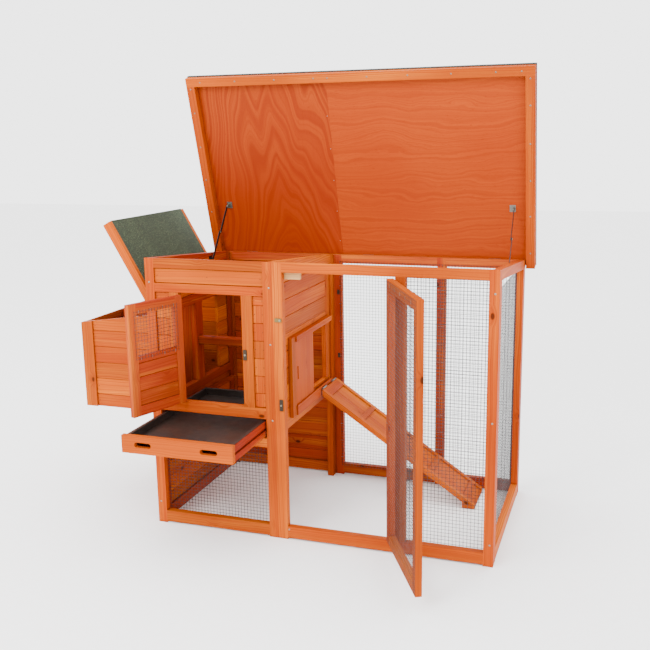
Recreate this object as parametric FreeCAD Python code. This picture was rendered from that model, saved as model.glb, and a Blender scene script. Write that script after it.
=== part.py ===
import FreeCAD, Part
import math
import os
from FreeCAD import Placement, Rotation, Vector

# Wooden chicken coop, modelled in millimetres, +Z up, +X to the right along the front, +Y to the rear.
# Lengths below are measured from the front left foot. The exported parts are moved so that the origin
# is the bottom centre of everything as it stands: lids, doors and pop door open, tray out, ramp down.

# Overall frame
HOUSE_W = 496.0
RUN_W = 781.0
DEPTH = 690.0
FRONT_H = 1020.0
REAR_H = 959.0
STOCK = 36.0
PANEL_T = 25.0
RAIL_H = 35.0
LOW_RAIL = (6.0, 49.0)
TOTAL_W = HOUSE_W + RUN_W
ROOF_SLOPE = (FRONT_H - REAR_H) / DEPTH
ROOF_ANGLE = math.degrees(math.atan(ROOF_SLOPE))

# Boards and wire
BOARD_T = 12.0
BOARD_PITCH = 64.0
BOARD_SET_BACK = 6.0
GROOVE = 2.2
BOARD_GAP = 0.4
MESH_T = 1.0
MESH_LAP = 9.0
STAY_MESH_LAP = 1.5

# House front
DOOR_OPENING_X = (130.0, 376.0)
DOOR_OPENING_Z = (492.0, 898.0)
JAMBS_X = ((94.0, 130.0), (376.0, 418.0))
GUSSET = 12.0
HEADER_Z = (898.0, 930.0)
SILL_RAIL_Z = (452.0, 492.0)
TRAY_RAIL_Z = (345.0, 380.0)
SIDING_FIRST_GROOVE = 544.0

# House side wall with the nest box
NEST_OPENINGS_Y = ((178.0, 332.0), (388.0, 542.0))
NEST_SILL_Z = (440.0, 475.0)
NEST_HEADER_Z = (793.0, 830.0)
NEST_Y = (86.0, 644.0)
NEST_REACH = 346.0
NEST_BOTTOM = 410.0
NEST_TOP_AT_WALL = 793.0
NEST_TOP_ANGLE = 7.74
NEST_FIRST_GROOVE = 460.0
NEST_PARTITION_Y = (355.0, 365.0)
NEST_STILE_W = 49.0
NEST_FLOOR_T = 9.0

# Wall between house and run, with the pop hole and its sliding door
POP_HOLE_Y = (395.0, 578.0)
POP_HOLE_Z = (455.0, 692.0)
DIVIDER_RAIL_Z = (375.0, 455.0)
TRACK_X = (488.0, 508.0)
LOWER_TRACK_Z = (412.0, 450.0)
UPPER_TRACK_Z = (695.0, 716.0)
TRACK_Y = (195.0, 603.0)
POP_DOOR_Y = (200.0, 390.0)
POP_DOOR_T = 8.0
POP_DOOR_IN_TRACK = 10.0
POP_DOOR_PLAY = 1.0
POP_DOOR_GRIP_Z = (545.0, 596.0)
STOP_W = 38.0

# Inside the house
PERCH_Y = (341.0, 375.0)
PERCH_Z = (622.0, 656.0)
RUNNER_Z = (408.0, 416.0)
RUNNER_DEPTH = 24.0
RUNNER_Y = (30.0, 640.0)

# Run front
RUN_DOOR_OPENING_X = (532.0, 934.0)
RUN_DOOR_OPENING_Z = (49.0, 985.0)
RUN_END_STILE = 34.0
STOP_BLOCK = ((528.5, 591.0), (25.0, 37.0), (958.0, 1006.0))

# Hinges
PIN_R = 1.5
PIN_PLAY = 0.05
BARREL_R = 3.0
LEAF_T = 1.5
LEAF_W = 18.0
LEAF_H = 48.0
PIN_STAND_OFF = 3.2
KNUCKLE_GAP = 0.5

# House door, hinged on the left jamb
HOUSE_DOOR_T = 18.0
HOUSE_DOOR_X = (132.5, 374.0)
HOUSE_DOOR_Z = (495.0, 892.0)
HOUSE_DOOR_STILE = 33.0
HOUSE_DOOR_RAIL = 36.0
HOUSE_DOOR_WINDOW_Z = (707.0, 856.0)
HOUSE_DOOR_OPEN = 110.0
HOUSE_DOOR_HINGES_Z = (560.0, 830.0)

# Run door, hinged on the middle stile
RUN_DOOR_T = 22.0
RUN_DOOR_X = (538.0, 932.0)
RUN_DOOR_Z = (52.0, 981.0)
RUN_DOOR_OPEN = 118.0
RUN_DOOR_HINGES_Z = (180.0, 516.0, 860.0)

# Roof lid
LID_X = (-44.0, 1315.0)
LID_SEAM_X = 531.0
LID_RAIL_W = 34.0
LID_RAIL_H = 30.0
LID_PLY_T = 6.0
LID_FELT_T = 3.0
LID_FRONT_REACH = 748.0
LID_REAR_REACH = 24.0
LID_SEAT_GAP = 1.0
LID_OPEN = 74.1
LID_HINGES_X = (120.0, 640.0, 1157.0)
FELT_LIP = 12.0

# Folding stays of the roof lid
STAY_REACH = 211.0
STAY_DROP = 14.0
STAY_FOLD_GAP = 12.4
STAY_ARM_W = 12.0
STAY_ARM_T = 2.0
STAY_PIN_R = 2.5
STAY_BOSS_R = 4.0
STAY_LOWER_X = (36.0, 38.0)
STAY_UPPER_X = (40.2, 42.2)
STAY_TAB_X = (42.8, 45.8)
STAY_END_GAP = 0.5

# Nest lid
NEST_LID_REACH = 363.0
NEST_LID_RAIL_H = 31.0
NEST_LID_RAIL_W = 18.0
NEST_LID_SIDE_LAP = 11.0
NEST_LID_OPEN = 60.2
NEST_LID_CORE_H = 22.0
NEST_LID_PLY_T = 6.0
NEST_FELT_T = 2.5
NEST_HINGES_Y = (160.0, 550.0)

# Droppings tray
TRAY_OUT = 283.0
TRAY_FRONT_X = (38.0, 458.0)
TRAY_FRONT_Z = (384.0, 447.0)
TRAY_FRONT_T = 18.0
TRAY_LENGTH = 629.0
TRAY_SIDE_T = 12.0
TRAY_SIDE_Z = (385.0, 441.0)
TRAY_GROOVE_PLAY = 1.0
TRAY_FLOOR_Z = (390.0, 394.0)
SLOT_L = 64.0
SLOT_H = 18.0
SLOT_CENTRES_X = (119.5, 368.5)
PAN_T = 1.5
PAN_RIM = 12.0
PAN_DEPTH = 26.0

# Ramp
RAMP_Y = (452.0, 644.0)
RAMP_PIN = (511.2, 440.3)
RAMP_TOP_EDGE = (514.4, 438.0)
RAMP_ANGLE = 34.0
RAMP_LENGTH = 750.0
RAMP_RAIL_W = 20.0
RAMP_RAIL_H = 20.0
RAMP_BOARD_T = 10.0
RAMP_HEADER = 42.0
RAMP_CLEAT = (21.0, 6.0)
RAMP_CLEAT_PITCH = 169.0
RAMP_CLEAT_FIRST = 187.0
RAMP_CLEATS = 4
RAMP_FOOT_X = (1088.0, 1136.0)
RAMP_HINGES_Y = (488.0, 608.0)
GROUND_GAP = 1.5

# Turn buttons: pivot x, pivot z, reach of the plate (low, high) along X and along Z from the pivot
BUTTON_Y = (-2.8, -0.8)
BUTTON_PIN_R = 2.0
BUTTON_HEAD_R = 3.5
BUTTON_HEAD_Y = (-4.3, -3.0)
HOUSE_BUTTON = (386.0, 684.0, (-7.0, 7.0), (-19.0, 19.0))
RUN_BUTTON_UPPER = (522.0, 817.0, (-19.0, 7.0), (-7.0, 7.0))
RUN_BUTTON_LOWER = (520.0, 509.0, (-7.0, 7.0), (-21.0, 21.0))

# Screw heads that stay in view
SCREW_R = 3.5
SCREW_H = 1.5
SCREWS_XZ = ((14.8, 932.0), (483.5, 929.0), (483.5, 727.0), (483.5, 448.0), (13.6, 84.0),
             (537.0, 38.0), (1263.0, 942.0), (1263.0, 510.0), (1264.0, 79.0))


def box(x, y, z):
    """Axis-aligned block from three (low, high) spans."""
    return Part.makeBox(x[1] - x[0], y[1] - y[0], z[1] - z[0], Vector(x[0], y[0], z[0]))


def prism(points, direction):
    """Solid from a closed flat outline, pushed along direction."""
    outline = Part.makePolygon([Vector(*p) for p in points] + [Vector(*points[0])])
    return Part.Face(outline).extrude(Vector(*direction))


def cylinder(centre, radius, length, direction):
    return Part.makeCylinder(radius, length, Vector(*centre), Vector(*direction))


def group(solids):
    return Part.makeCompound(solids)


def roof_z(y):
    """Height of the frame's top edge at depth y."""
    return FRONT_H - ROOF_SLOPE * y


def under_roof(shape, drop):
    """Cut a shape off on a plane that lies drop below the frame's sloping top edge."""
    low, high = -10.0, DEPTH + 10.0
    wedge = prism([(-500, low, -10), (-500, high, -10), (-500, high, roof_z(high) - drop),
                   (-500, low, roof_z(low) - drop)], (TOTAL_W + 1000, 0, 0))
    return shape.common(wedge)


def board(span, thickness, height, along):
    """Board with V-grooved long edges, running along X or along Y."""
    t0, t1 = thickness
    z0, z1 = height[0] + BOARD_GAP / 2, height[1] - BOARD_GAP / 2
    g = min(GROOVE, (z1 - z0) / 4)
    profile = [(t0 + g, z0), (t1 - g, z0), (t1, z0 + g), (t1, z1 - g),
               (t1 - g, z1), (t0 + g, z1), (t0, z1 - g), (t0, z0 + g)]
    length = span[1] - span[0]
    if along == "x":
        return prism([(span[0], t, z) for t, z in profile], (length, 0, 0))
    return prism([(t, span[0], z) for t, z in profile], (0, length, 0))


def board_edges(z_low, z_high, groove_z):
    """Heights where boards meet, on the common board pitch through groove_z."""
    first = groove_z - BOARD_PITCH * math.floor((groove_z - z_low) / BOARD_PITCH)
    edges = [z_low]
    z = first
    while z < z_high - 8:
        if z > z_low + 8:
            edges.append(z)
        z += BOARD_PITCH
    return edges + [z_high]


def boarding(span, thickness, height, along, groove_z=SIDING_FIRST_GROOVE):
    """Stack of boards that fills a rectangle of wall."""
    edges = board_edges(height[0], height[1], groove_z)
    return [board(span, thickness, pair, along) for pair in zip(edges, edges[1:])]


def boarding_to_roof(span, thickness, z_low, groove_z=SIDING_FIRST_GROOVE):
    """Boards along Y that end below the sloping top rail."""
    top = roof_z(span[0]) - RAIL_H
    boards = boarding(span, thickness, (z_low, top), "y", groove_z)
    cut = [under_roof(b, RAIL_H + BOARD_GAP / 2) for b in boards]
    return [c.Solids[0] for c in cut if c.Solids]


def sloping_rail(x, y):
    """Top rail of a side wall, which follows the roof."""
    (y0, y1) = y
    return prism([(x[0], y0, roof_z(y0) - RAIL_H), (x[0], y1, roof_z(y1) - RAIL_H),
                  (x[0], y1, roof_z(y1)), (x[0], y0, roof_z(y0))], (x[1] - x[0], 0, 0))


def side_stile(x, y, z_low=0.0):
    """Upright of a side wall, cut to the roof line."""
    return under_roof(box(x, y, (z_low, FRONT_H)), 0.0)


# ---------------------------------------------------------------- hinges

def leaf(pin, away, normal, with_pin):
    """One butt hinge leaf. The pin stands PIN_STAND_OFF off the face that the leaf is screwed to,
    away points from the pin along that face, and normal points out of it."""
    third = LEAF_H / 3
    if with_pin:
        spans = [(-LEAF_H / 2, -third / 2 - KNUCKLE_GAP / 2), (third / 2 + KNUCKLE_GAP / 2, LEAF_H / 2)]
    else:
        spans = [(-third / 2 + KNUCKLE_GAP / 2, third / 2 - KNUCKLE_GAP / 2)]
    plate_y = (-PIN_STAND_OFF, -PIN_STAND_OFF + LEAF_T)
    shape = box((BARREL_R + 0.4, LEAF_W), plate_y, (-LEAF_H / 2, LEAF_H / 2))
    for low, high in spans:
        shape = shape.fuse(box((0, BARREL_R + 0.4), plate_y, (low, high)))
        shape = shape.fuse(cylinder((0, 0, low), BARREL_R, high - low, (0, 0, 1)))
    if with_pin:
        shape = shape.fuse(cylinder((0, 0, -LEAF_H / 2), PIN_R, LEAF_H, (0, 0, 1)))
    else:
        shape = shape.cut(cylinder((0, 0, -LEAF_H), PIN_R + PIN_PLAY, 2 * LEAF_H, (0, 0, 1)))
    a, n = Vector(*away), Vector(*normal)
    shape = shape.removeSplitter()
    shape.Placement = Placement(Vector(*pin), Rotation(a, n, a.cross(n), "XYZ"))
    return shape


def house_door_pins():
    x = (DOOR_OPENING_X[0] + HOUSE_DOOR_X[0]) / 2
    return [(x, -PIN_STAND_OFF, z) for z in HOUSE_DOOR_HINGES_Z]


def run_door_pins():
    x = RUN_DOOR_OPENING_X[1] - PIN_STAND_OFF
    return [(x, -PIN_STAND_OFF, z) for z in RUN_DOOR_HINGES_Z]


LID_PIN_Y = DEPTH + PIN_STAND_OFF
LID_PIN_Z = roof_z(LID_PIN_Y) + LID_SEAT_GAP - PIN_STAND_OFF
NEST_PIN_X = -PIN_STAND_OFF
NEST_PIN_Z = NEST_TOP_AT_WALL + LID_SEAT_GAP + NEST_LID_RAIL_H


def lid_pins():
    return [(x, LID_PIN_Y, LID_PIN_Z) for x in LID_HINGES_X]


def nest_pins():
    return [(NEST_PIN_X, y, NEST_PIN_Z) for y in NEST_HINGES_Y]


def ramp_pins():
    return [(RAMP_PIN[0], y, RAMP_PIN[1]) for y in RAMP_HINGES_Y]


def fixed_hinge_leaves():
    leaves = [leaf(p, (-1, 0, 0), (0, -1, 0), True) for p in house_door_pins()]
    leaves += [leaf(p, (0, 1, 0), (-1, 0, 0), True) for p in run_door_pins()]
    leaves += [leaf(p, (0, 0, -1), (0, 1, 0), True) for p in lid_pins()]
    leaves += [leaf(p, (0, 0, -1), (-1, 0, 0), True) for p in nest_pins()]
    leaves += [leaf(p, (0, 0, -1), (1, 0, 0), True) for p in ramp_pins()]
    return group(leaves)


# ---------------------------------------------------------------- house

FRONT_Y = (0.0, PANEL_T)
REAR_Y = (DEPTH - PANEL_T, DEPTH)
SIDE_Y = (PANEL_T, DEPTH - PANEL_T)
FRONT_BOARD_Y = (BOARD_SET_BACK, BOARD_SET_BACK + BOARD_T)
HOUSE_INNER_X = (STOCK, HOUSE_W - STOCK)
LEFT_WALL_X = (0.0, PANEL_T)
DIVIDER_X = (HOUSE_W - PANEL_T, HOUSE_W)
SIDE_STILES_Y = ((PANEL_T, PANEL_T + STOCK), (DEPTH - PANEL_T - STOCK, DEPTH - PANEL_T))
SIDE_INNER_Y = (PANEL_T + STOCK, DEPTH - PANEL_T - STOCK)


def house_front_stiles():
    """Outer stiles, and the jambs beside the doorway. Gussets stiffen the latch side's corners."""
    stiles = [under_roof(box(x, FRONT_Y, (0, FRONT_H)), 0) for x in ((0, STOCK), (HOUSE_W - STOCK, HOUSE_W))]
    left, right = [box(x, FRONT_Y, DOOR_OPENING_Z) for x in JAMBS_X]
    x = JAMBS_X[1][0]
    y = HOUSE_DOOR_T + MESH_T
    z0, z1 = DOOR_OPENING_Z
    for z, step in ((z0, GUSSET), (z1, -GUSSET)):
        gusset = prism([(x, y, z), (x - GUSSET, y, z), (x, y, z + step)], (0, PANEL_T - y, 0))
        right = right.fuse(gusset)
    return group(stiles + [left, right.removeSplitter()])


def house_front_rails():
    heights = [(FRONT_H - RAIL_H, FRONT_H), HEADER_Z, SILL_RAIL_Z, TRAY_RAIL_Z, LOW_RAIL]
    return group([under_roof(box(HOUSE_INNER_X, FRONT_Y, z), 0) for z in heights])


def house_front_boards():
    """Fascia board under the top rail and the boarding on both sides of the door."""
    fascia = board(HOUSE_INNER_X, FRONT_BOARD_Y, (HEADER_Z[1], FRONT_H - RAIL_H), "x")
    left = (HOUSE_INNER_X[0], JAMBS_X[0][0])
    right = (JAMBS_X[1][1], HOUSE_INNER_X[1])
    boards = [fascia]
    for span in (left, right):
        boards += boarding(span, FRONT_BOARD_Y, DOOR_OPENING_Z, "x")
    return group(boards)


def house_front_mesh():
    return box((PANEL_T + 2, HOUSE_W - PANEL_T - 2), (PANEL_T, PANEL_T + MESH_T),
               (LOW_RAIL[1] - MESH_LAP, TRAY_RAIL_Z[0] + MESH_LAP))


def left_wall_frame():
    stiles = [side_stile(LEFT_WALL_X, y) for y in SIDE_STILES_Y]
    post_y = (NEST_OPENINGS_Y[0][1], NEST_OPENINGS_Y[1][0])
    stiles.append(box(LEFT_WALL_X, post_y, (NEST_SILL_Z[1], NEST_HEADER_Z[0])))
    rails = [box(LEFT_WALL_X, SIDE_INNER_Y, z) for z in (LOW_RAIL, NEST_SILL_Z, NEST_HEADER_Z)]
    return group(stiles + rails + [sloping_rail(LEFT_WALL_X, SIDE_INNER_Y)])


def left_wall_boards():
    x = (BOARD_SET_BACK, BOARD_SET_BACK + BOARD_T)
    openings_z = (NEST_SILL_Z[1], NEST_HEADER_Z[0])
    boards = boarding(SIDE_INNER_Y, x, (LOW_RAIL[1], NEST_SILL_Z[0]), "y")
    boards += boarding((SIDE_INNER_Y[0], NEST_OPENINGS_Y[0][0]), x, openings_z, "y")
    boards += boarding((NEST_OPENINGS_Y[1][1], SIDE_INNER_Y[1]), x, openings_z, "y")
    boards += boarding_to_roof(SIDE_INNER_Y, x, NEST_HEADER_Z[1])
    return group(boards)


def rear_wall_frame():
    stiles = [box(x, REAR_Y, (0, REAR_H)) for x in ((0, STOCK), (HOUSE_W - STOCK, HOUSE_W))]
    rails = [box(HOUSE_INNER_X, REAR_Y, z) for z in (LOW_RAIL, (REAR_H - RAIL_H, REAR_H))]
    return group(stiles + rails)


def rear_wall_boards():
    y = (DEPTH - BOARD_SET_BACK - BOARD_T, DEPTH - BOARD_SET_BACK)
    return group(boarding(HOUSE_INNER_X, y, (LOW_RAIL[1], REAR_H - RAIL_H), "x"))


def divider_frame():
    """Frame between house and run. Below its bottom rail the run goes on under the house."""
    stiles = [side_stile(DIVIDER_X, y) for y in SIDE_STILES_Y]
    jamb = (POP_HOLE_Y[1], SIDE_INNER_Y[1])
    behind_tracks = (DIVIDER_X[0], TRACK_X[0])
    stiles.append(under_roof(box(behind_tracks, jamb, (DIVIDER_RAIL_Z[1], FRONT_H)), RAIL_H))
    rails = [box(behind_tracks, SIDE_INNER_Y, DIVIDER_RAIL_Z), sloping_rail(DIVIDER_X, SIDE_INNER_Y)]
    return group(stiles + rails)


def divider_boards():
    x = (TRACK_X[0] - BOARD_T, TRACK_X[0])
    boards = boarding((SIDE_STILES_Y[0][1], POP_HOLE_Y[0]), x, POP_HOLE_Z, "y")
    boards += boarding_to_roof((SIDE_STILES_Y[0][1], POP_HOLE_Y[1]), x, POP_HOLE_Z[1])
    return group(boards)


def pop_door_tracks():
    """Grooved rails above and below the sliding door, and the stop behind it."""
    x0, x1 = TRACK_X
    slot_x = pop_door_x(POP_DOOR_PLAY)
    depth = POP_DOOR_IN_TRACK + POP_DOOR_PLAY
    lower = box(TRACK_X, TRACK_Y, LOWER_TRACK_Z)
    lower = lower.cut(box(slot_x, TRACK_Y, (LOWER_TRACK_Z[1] - depth, LOWER_TRACK_Z[1] + 1)))
    upper = box(TRACK_X, TRACK_Y, UPPER_TRACK_Z)
    upper = upper.cut(box(slot_x, TRACK_Y, (UPPER_TRACK_Z[0] - 1, UPPER_TRACK_Z[0] + depth)))
    stop = box((x0, x1 - 5), (TRACK_Y[0] - STOP_W, TRACK_Y[0]), (LOWER_TRACK_Z[0], UPPER_TRACK_Z[1]))
    return group([lower, upper, stop])


def pop_door_x(play):
    middle = (TRACK_X[0] + TRACK_X[1]) / 2 - 1
    return (middle - POP_DOOR_T / 2 - play, middle + POP_DOOR_T / 2 + play)


def perch_bar():
    bar = box((LEFT_WALL_X[1], TRACK_X[0] - BOARD_T), PERCH_Y, PERCH_Z)
    edges = [e for e in bar.Edges if e.BoundBox.XLength > 100]
    return bar.makeFillet(6.0, edges)


def tray_runners():
    """Strips on both house walls that carry the tray by the grooves in its sides."""
    left = box((LEFT_WALL_X[1], LEFT_WALL_X[1] + RUNNER_DEPTH), RUNNER_Y, RUNNER_Z)
    right = box((DIVIDER_X[0] - RUNNER_DEPTH, DIVIDER_X[0]), RUNNER_Y, RUNNER_Z)
    return group([left, right])


# ---------------------------------------------------------------- nest box

def under_nest_lid(shape, drop=0.0):
    """Cut a nest box piece off on the slope that carries the nest lid."""
    run = NEST_REACH + 60.0
    fall = run * math.tan(math.radians(NEST_TOP_ANGLE))
    top = NEST_TOP_AT_WALL - drop
    wedge = prism([(0, 0, 0), (0, 0, top), (-run, 0, top - fall), (-run, 0, 0)], (0, DEPTH, 0))
    return shape.common(wedge)


def nest_box_stiles():
    """Corner uprights of the nest box, front and rear."""
    x = (-NEST_REACH, -NEST_REACH + NEST_STILE_W)
    z = (NEST_BOTTOM, NEST_TOP_AT_WALL)
    spans = ((NEST_Y[0], NEST_Y[0] + PANEL_T), (NEST_Y[1] - PANEL_T, NEST_Y[1]))
    return group([under_nest_lid(box(x, y, z)) for y in spans])


def nest_box_boards():
    """Front, rear and end boarding of the nest box."""
    z = (NEST_BOTTOM, NEST_TOP_AT_WALL)
    side_x = (-NEST_REACH + NEST_STILE_W, 0)
    front_y = (NEST_Y[0] + BOARD_SET_BACK, NEST_Y[0] + BOARD_SET_BACK + BOARD_T)
    rear_y = (NEST_Y[1] - BOARD_SET_BACK - BOARD_T, NEST_Y[1] - BOARD_SET_BACK)
    end_x = (-NEST_REACH + BOARD_SET_BACK, -NEST_REACH + BOARD_SET_BACK + BOARD_T)
    end_y = (NEST_Y[0] + PANEL_T, NEST_Y[1] - PANEL_T)
    boards = [b for y in (front_y, rear_y) for b in boarding(side_x, y, z, "x", NEST_FIRST_GROOVE)]
    boards += boarding(end_y, end_x, z, "y", NEST_FIRST_GROOVE)
    cut = [under_nest_lid(b) for b in boards]
    return group([c.Solids[0] for c in cut if c.Solids])


def nest_box_floor():
    """Floor board and the partition between the two nests."""
    x = (-NEST_REACH + BOARD_SET_BACK + BOARD_T, 0)
    inset = BOARD_SET_BACK + BOARD_T
    floor = box(x, (NEST_Y[0] + inset, NEST_Y[1] - inset), (NEST_BOTTOM + 6, NEST_BOTTOM + 6 + NEST_FLOOR_T))
    for y in ((NEST_Y[0], NEST_Y[0] + PANEL_T), (NEST_Y[1] - PANEL_T, NEST_Y[1])):
        floor = floor.cut(box((-NEST_REACH, -NEST_REACH + NEST_STILE_W), y, (0, FRONT_H)))
    top = NEST_BOTTOM + 6 + NEST_FLOOR_T
    partition = under_nest_lid(box((x[0], 0), NEST_PARTITION_Y, (top, NEST_TOP_AT_WALL)), 2.0)
    return group([floor, partition])


# ---------------------------------------------------------------- run

RUN_STILES_X = ((HOUSE_W, HOUSE_W + STOCK),
                (RUN_DOOR_OPENING_X[1], RUN_DOOR_OPENING_X[1] + STOCK),
                (TOTAL_W - RUN_END_STILE, TOTAL_W))
RUN_BAYS_X = ((RUN_STILES_X[0][1], RUN_STILES_X[1][0]), (RUN_STILES_X[1][1], RUN_STILES_X[2][0]))
RUN_SIDE_X = (TOTAL_W - PANEL_T, TOTAL_W)
RUN_SIDE_STILE_W = 26.0
RUN_SIDE_INNER_Y = (PANEL_T + RUN_SIDE_STILE_W, DEPTH - PANEL_T - RUN_SIDE_STILE_W)


def run_front_stiles():
    heights = ((0, FRONT_H), (LOW_RAIL[1], FRONT_H - RAIL_H), (0, FRONT_H))
    return group([under_roof(box(x, FRONT_Y, z), 0) for x, z in zip(RUN_STILES_X, heights)])


def run_front_rails():
    span = (RUN_STILES_X[0][1], RUN_STILES_X[2][0])
    heights = (LOW_RAIL, (FRONT_H - RAIL_H, FRONT_H))
    return group([under_roof(box(span, FRONT_Y, z), 0) for z in heights])


def run_door_stop():
    """Small block behind the top rail that the door's corner closes against."""
    block = box(*STOP_BLOCK)
    return block.makeFillet(3.0, [e for e in block.Edges if e.BoundBox.YLength > 5])


def run_front_mesh():
    x0, x1 = RUN_BAYS_X[1]
    return box((x0 - MESH_LAP, x1 + MESH_LAP), (PANEL_T, PANEL_T + MESH_T),
               (LOW_RAIL[1] - MESH_LAP, FRONT_H - RAIL_H + MESH_LAP))


def run_side_frame():
    y0, y1 = RUN_SIDE_INNER_Y
    stiles = [side_stile(RUN_SIDE_X, y) for y in ((PANEL_T, y0), (y1, DEPTH - PANEL_T))]
    return group(stiles + [box(RUN_SIDE_X, RUN_SIDE_INNER_Y, LOW_RAIL),
                           sloping_rail(RUN_SIDE_X, RUN_SIDE_INNER_Y)])


def run_side_mesh():
    y = (RUN_SIDE_INNER_Y[0] - MESH_LAP, RUN_SIDE_INNER_Y[1] + MESH_LAP)
    sheet = box((RUN_SIDE_X[0] - MESH_T, RUN_SIDE_X[0]), y, (LOW_RAIL[1] - MESH_LAP, FRONT_H))
    return under_roof(sheet, RAIL_H - STAY_MESH_LAP)


def run_rear_frame():
    stiles = [box(x, REAR_Y, (0, REAR_H)) for x in RUN_STILES_X]
    heights = (LOW_RAIL, (REAR_H - RAIL_H, REAR_H))
    return group(stiles + [box(x, REAR_Y, z) for x in RUN_BAYS_X for z in heights])


def run_rear_mesh():
    """Wire over both rear bays, on the inner side of the frame."""
    y = (REAR_Y[0] - MESH_T, REAR_Y[0])
    z = (LOW_RAIL[1] - MESH_LAP, REAR_H - RAIL_H + MESH_LAP)
    left, right = RUN_BAYS_X
    middle = (left[1] + right[0]) / 2
    return group([box((left[0] - MESH_LAP, middle - 2), y, z), box((middle + 2, right[1] + MESH_LAP), y, z)])


# ---------------------------------------------------------------- roof lid

def open_lid(shape):
    """Turn a piece of the closed roof lid to where the open lid stands."""
    turned = shape.copy()
    turned.rotate(Vector(0, LID_PIN_Y, LID_PIN_Z), Vector(1, 0, 0), -(LID_OPEN - ROOF_ANGLE))
    return turned


def lid_slab(x, reach, height):
    """Block in the closed lid's own slope: reach runs forward from the pins, height up from the underside."""
    ca, sa = math.cos(math.radians(ROOF_ANGLE)), math.sin(math.radians(ROOF_ANGLE))
    points = []
    for r, h in ((reach[0], height[0]), (reach[1], height[0]), (reach[1], height[1]), (reach[0], height[1])):
        lift = h + PIN_STAND_OFF
        points.append((x[0], LID_PIN_Y - r * ca + lift * sa, LID_PIN_Z + r * sa + lift * ca))
    return prism(points, (x[1] - x[0], 0, 0))


LID_SPAN = (-LID_REAR_REACH, LID_FRONT_REACH)


def roof_lid_rails():
    x0, x1 = LID_X
    w = LID_RAIL_W
    below = (-LID_RAIL_H, 0)
    front = (LID_FRONT_REACH - w, LID_FRONT_REACH)
    sides = (-LID_REAR_REACH, LID_FRONT_REACH - w)
    bars = [lid_slab((x0, x0 + w), sides, below), lid_slab((x1 - w, x1), sides, below),
            lid_slab((x0, x1), front, below)]
    return open_lid(group(bars))


def roof_panel(x):
    return open_lid(lid_slab(x, LID_SPAN, (0, LID_PLY_T)))


def roof_felt():
    """Felt over the plywood, turned down over the front edge."""
    x = (LID_X[0] - 2, LID_X[1] + 2)
    top = (LID_PLY_T, LID_PLY_T + LID_FELT_T)
    sheet = lid_slab(x, (-LID_REAR_REACH, LID_FRONT_REACH + LID_FELT_T), top)
    lip = lid_slab(x, (LID_FRONT_REACH, LID_FRONT_REACH + LID_FELT_T), (LID_PLY_T - FELT_LIP, LID_PLY_T))
    return open_lid(sheet.fuse(lip).removeSplitter())


def roof_hinge_leaves():
    ca, sa = math.cos(math.radians(ROOF_ANGLE)), math.sin(math.radians(ROOF_ANGLE))
    return open_lid(group([leaf(p, (0, ca, -sa), (0, -sa, -ca), False) for p in lid_pins()]))


# ---------------------------------------------------------------- folding stays

def lid_point(reach, height):
    """(y, z) of a point on the closed lid's slope."""
    ca, sa = math.cos(math.radians(ROOF_ANGLE)), math.sin(math.radians(ROOF_ANGLE))
    lift = height + PIN_STAND_OFF
    return (LID_PIN_Y - reach * ca + lift * sa, LID_PIN_Z + reach * sa + lift * ca)


def turned_about_lid_pin(point, angle):
    c, s = math.cos(math.radians(angle)), math.sin(math.radians(angle))
    y, z = point[0] - LID_PIN_Y, point[1] - LID_PIN_Z
    return (LID_PIN_Y + y * c - z * s, LID_PIN_Z + y * s + z * c)


def stay_points():
    """(y, z) of the foot, the lid pivot and the elbow at rest, then the last two with the lid closed."""
    closed_top = lid_point(STAY_REACH, -STAY_DROP)
    ca, sa = math.cos(math.radians(ROOF_ANGLE)), math.sin(math.radians(ROOF_ANGLE))
    foot = (closed_top[0] - STAY_FOLD_GAP * sa, closed_top[1] - STAY_FOLD_GAP * ca)
    top = turned_about_lid_pin(closed_top, -(LID_OPEN - ROOF_ANGLE))
    elbow = ((foot[0] + top[0]) / 2, (foot[1] + top[1]) / 2)
    arm = math.dist(foot, elbow)
    reach = math.sqrt(arm ** 2 - (STAY_FOLD_GAP / 2) ** 2)
    middle = ((foot[0] + closed_top[0]) / 2, (foot[1] + closed_top[1]) / 2)
    closed_elbow = (middle[0] + reach * ca, middle[1] - reach * sa)
    return foot, top, elbow, closed_top, closed_elbow


def flat_arm(x, start, end):
    """Flat steel strip with round ends between two pivots."""
    length = math.dist(start, end)
    r = STAY_ARM_W / 2
    t = x[1] - x[0]
    strip = box((0, t), (0, length), (-r, r))
    strip = strip.fuse(cylinder((0, 0, 0), r, t, (1, 0, 0)))
    strip = strip.fuse(cylinder((0, length, 0), r, t, (1, 0, 0))).removeSplitter()
    angle = math.degrees(math.atan2(end[1] - start[1], end[0] - start[0]))
    strip.rotate(Vector(0, 0, 0), Vector(1, 0, 0), angle)
    strip.translate(Vector(x[0], start[0], start[1]))
    return strip


def on_side(shape, side):
    """Pieces are made for the left wall and mirrored for the right one."""
    if side == "left":
        return shape
    return shape.mirror(Vector(TOTAL_W / 2, 0, 0), Vector(1, 0, 0))


def stay_wall_brackets():
    """Plates on the side walls with the foot pivots."""
    foot = stay_points()[0]
    head_x = STAY_LOWER_X[1] + 0.2
    plate = box((PANEL_T, PANEL_T + 2), (foot[0] - 12, foot[0] + 12), (foot[1] - 6, foot[1] + 12))
    boss_l = STAY_LOWER_X[0] - STAY_END_GAP - PANEL_T
    boss = cylinder((PANEL_T, foot[0], foot[1]), STAY_BOSS_R, boss_l, (1, 0, 0))
    pin = cylinder((PANEL_T, foot[0], foot[1]), STAY_PIN_R, head_x + 1 - PANEL_T, (1, 0, 0))
    head = cylinder((head_x, foot[0], foot[1]), STAY_BOSS_R, 1, (1, 0, 0))
    bracket = plate.fuse([boss, pin, head]).removeSplitter()
    return group([on_side(bracket, side) for side in ("left", "right")])


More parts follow.
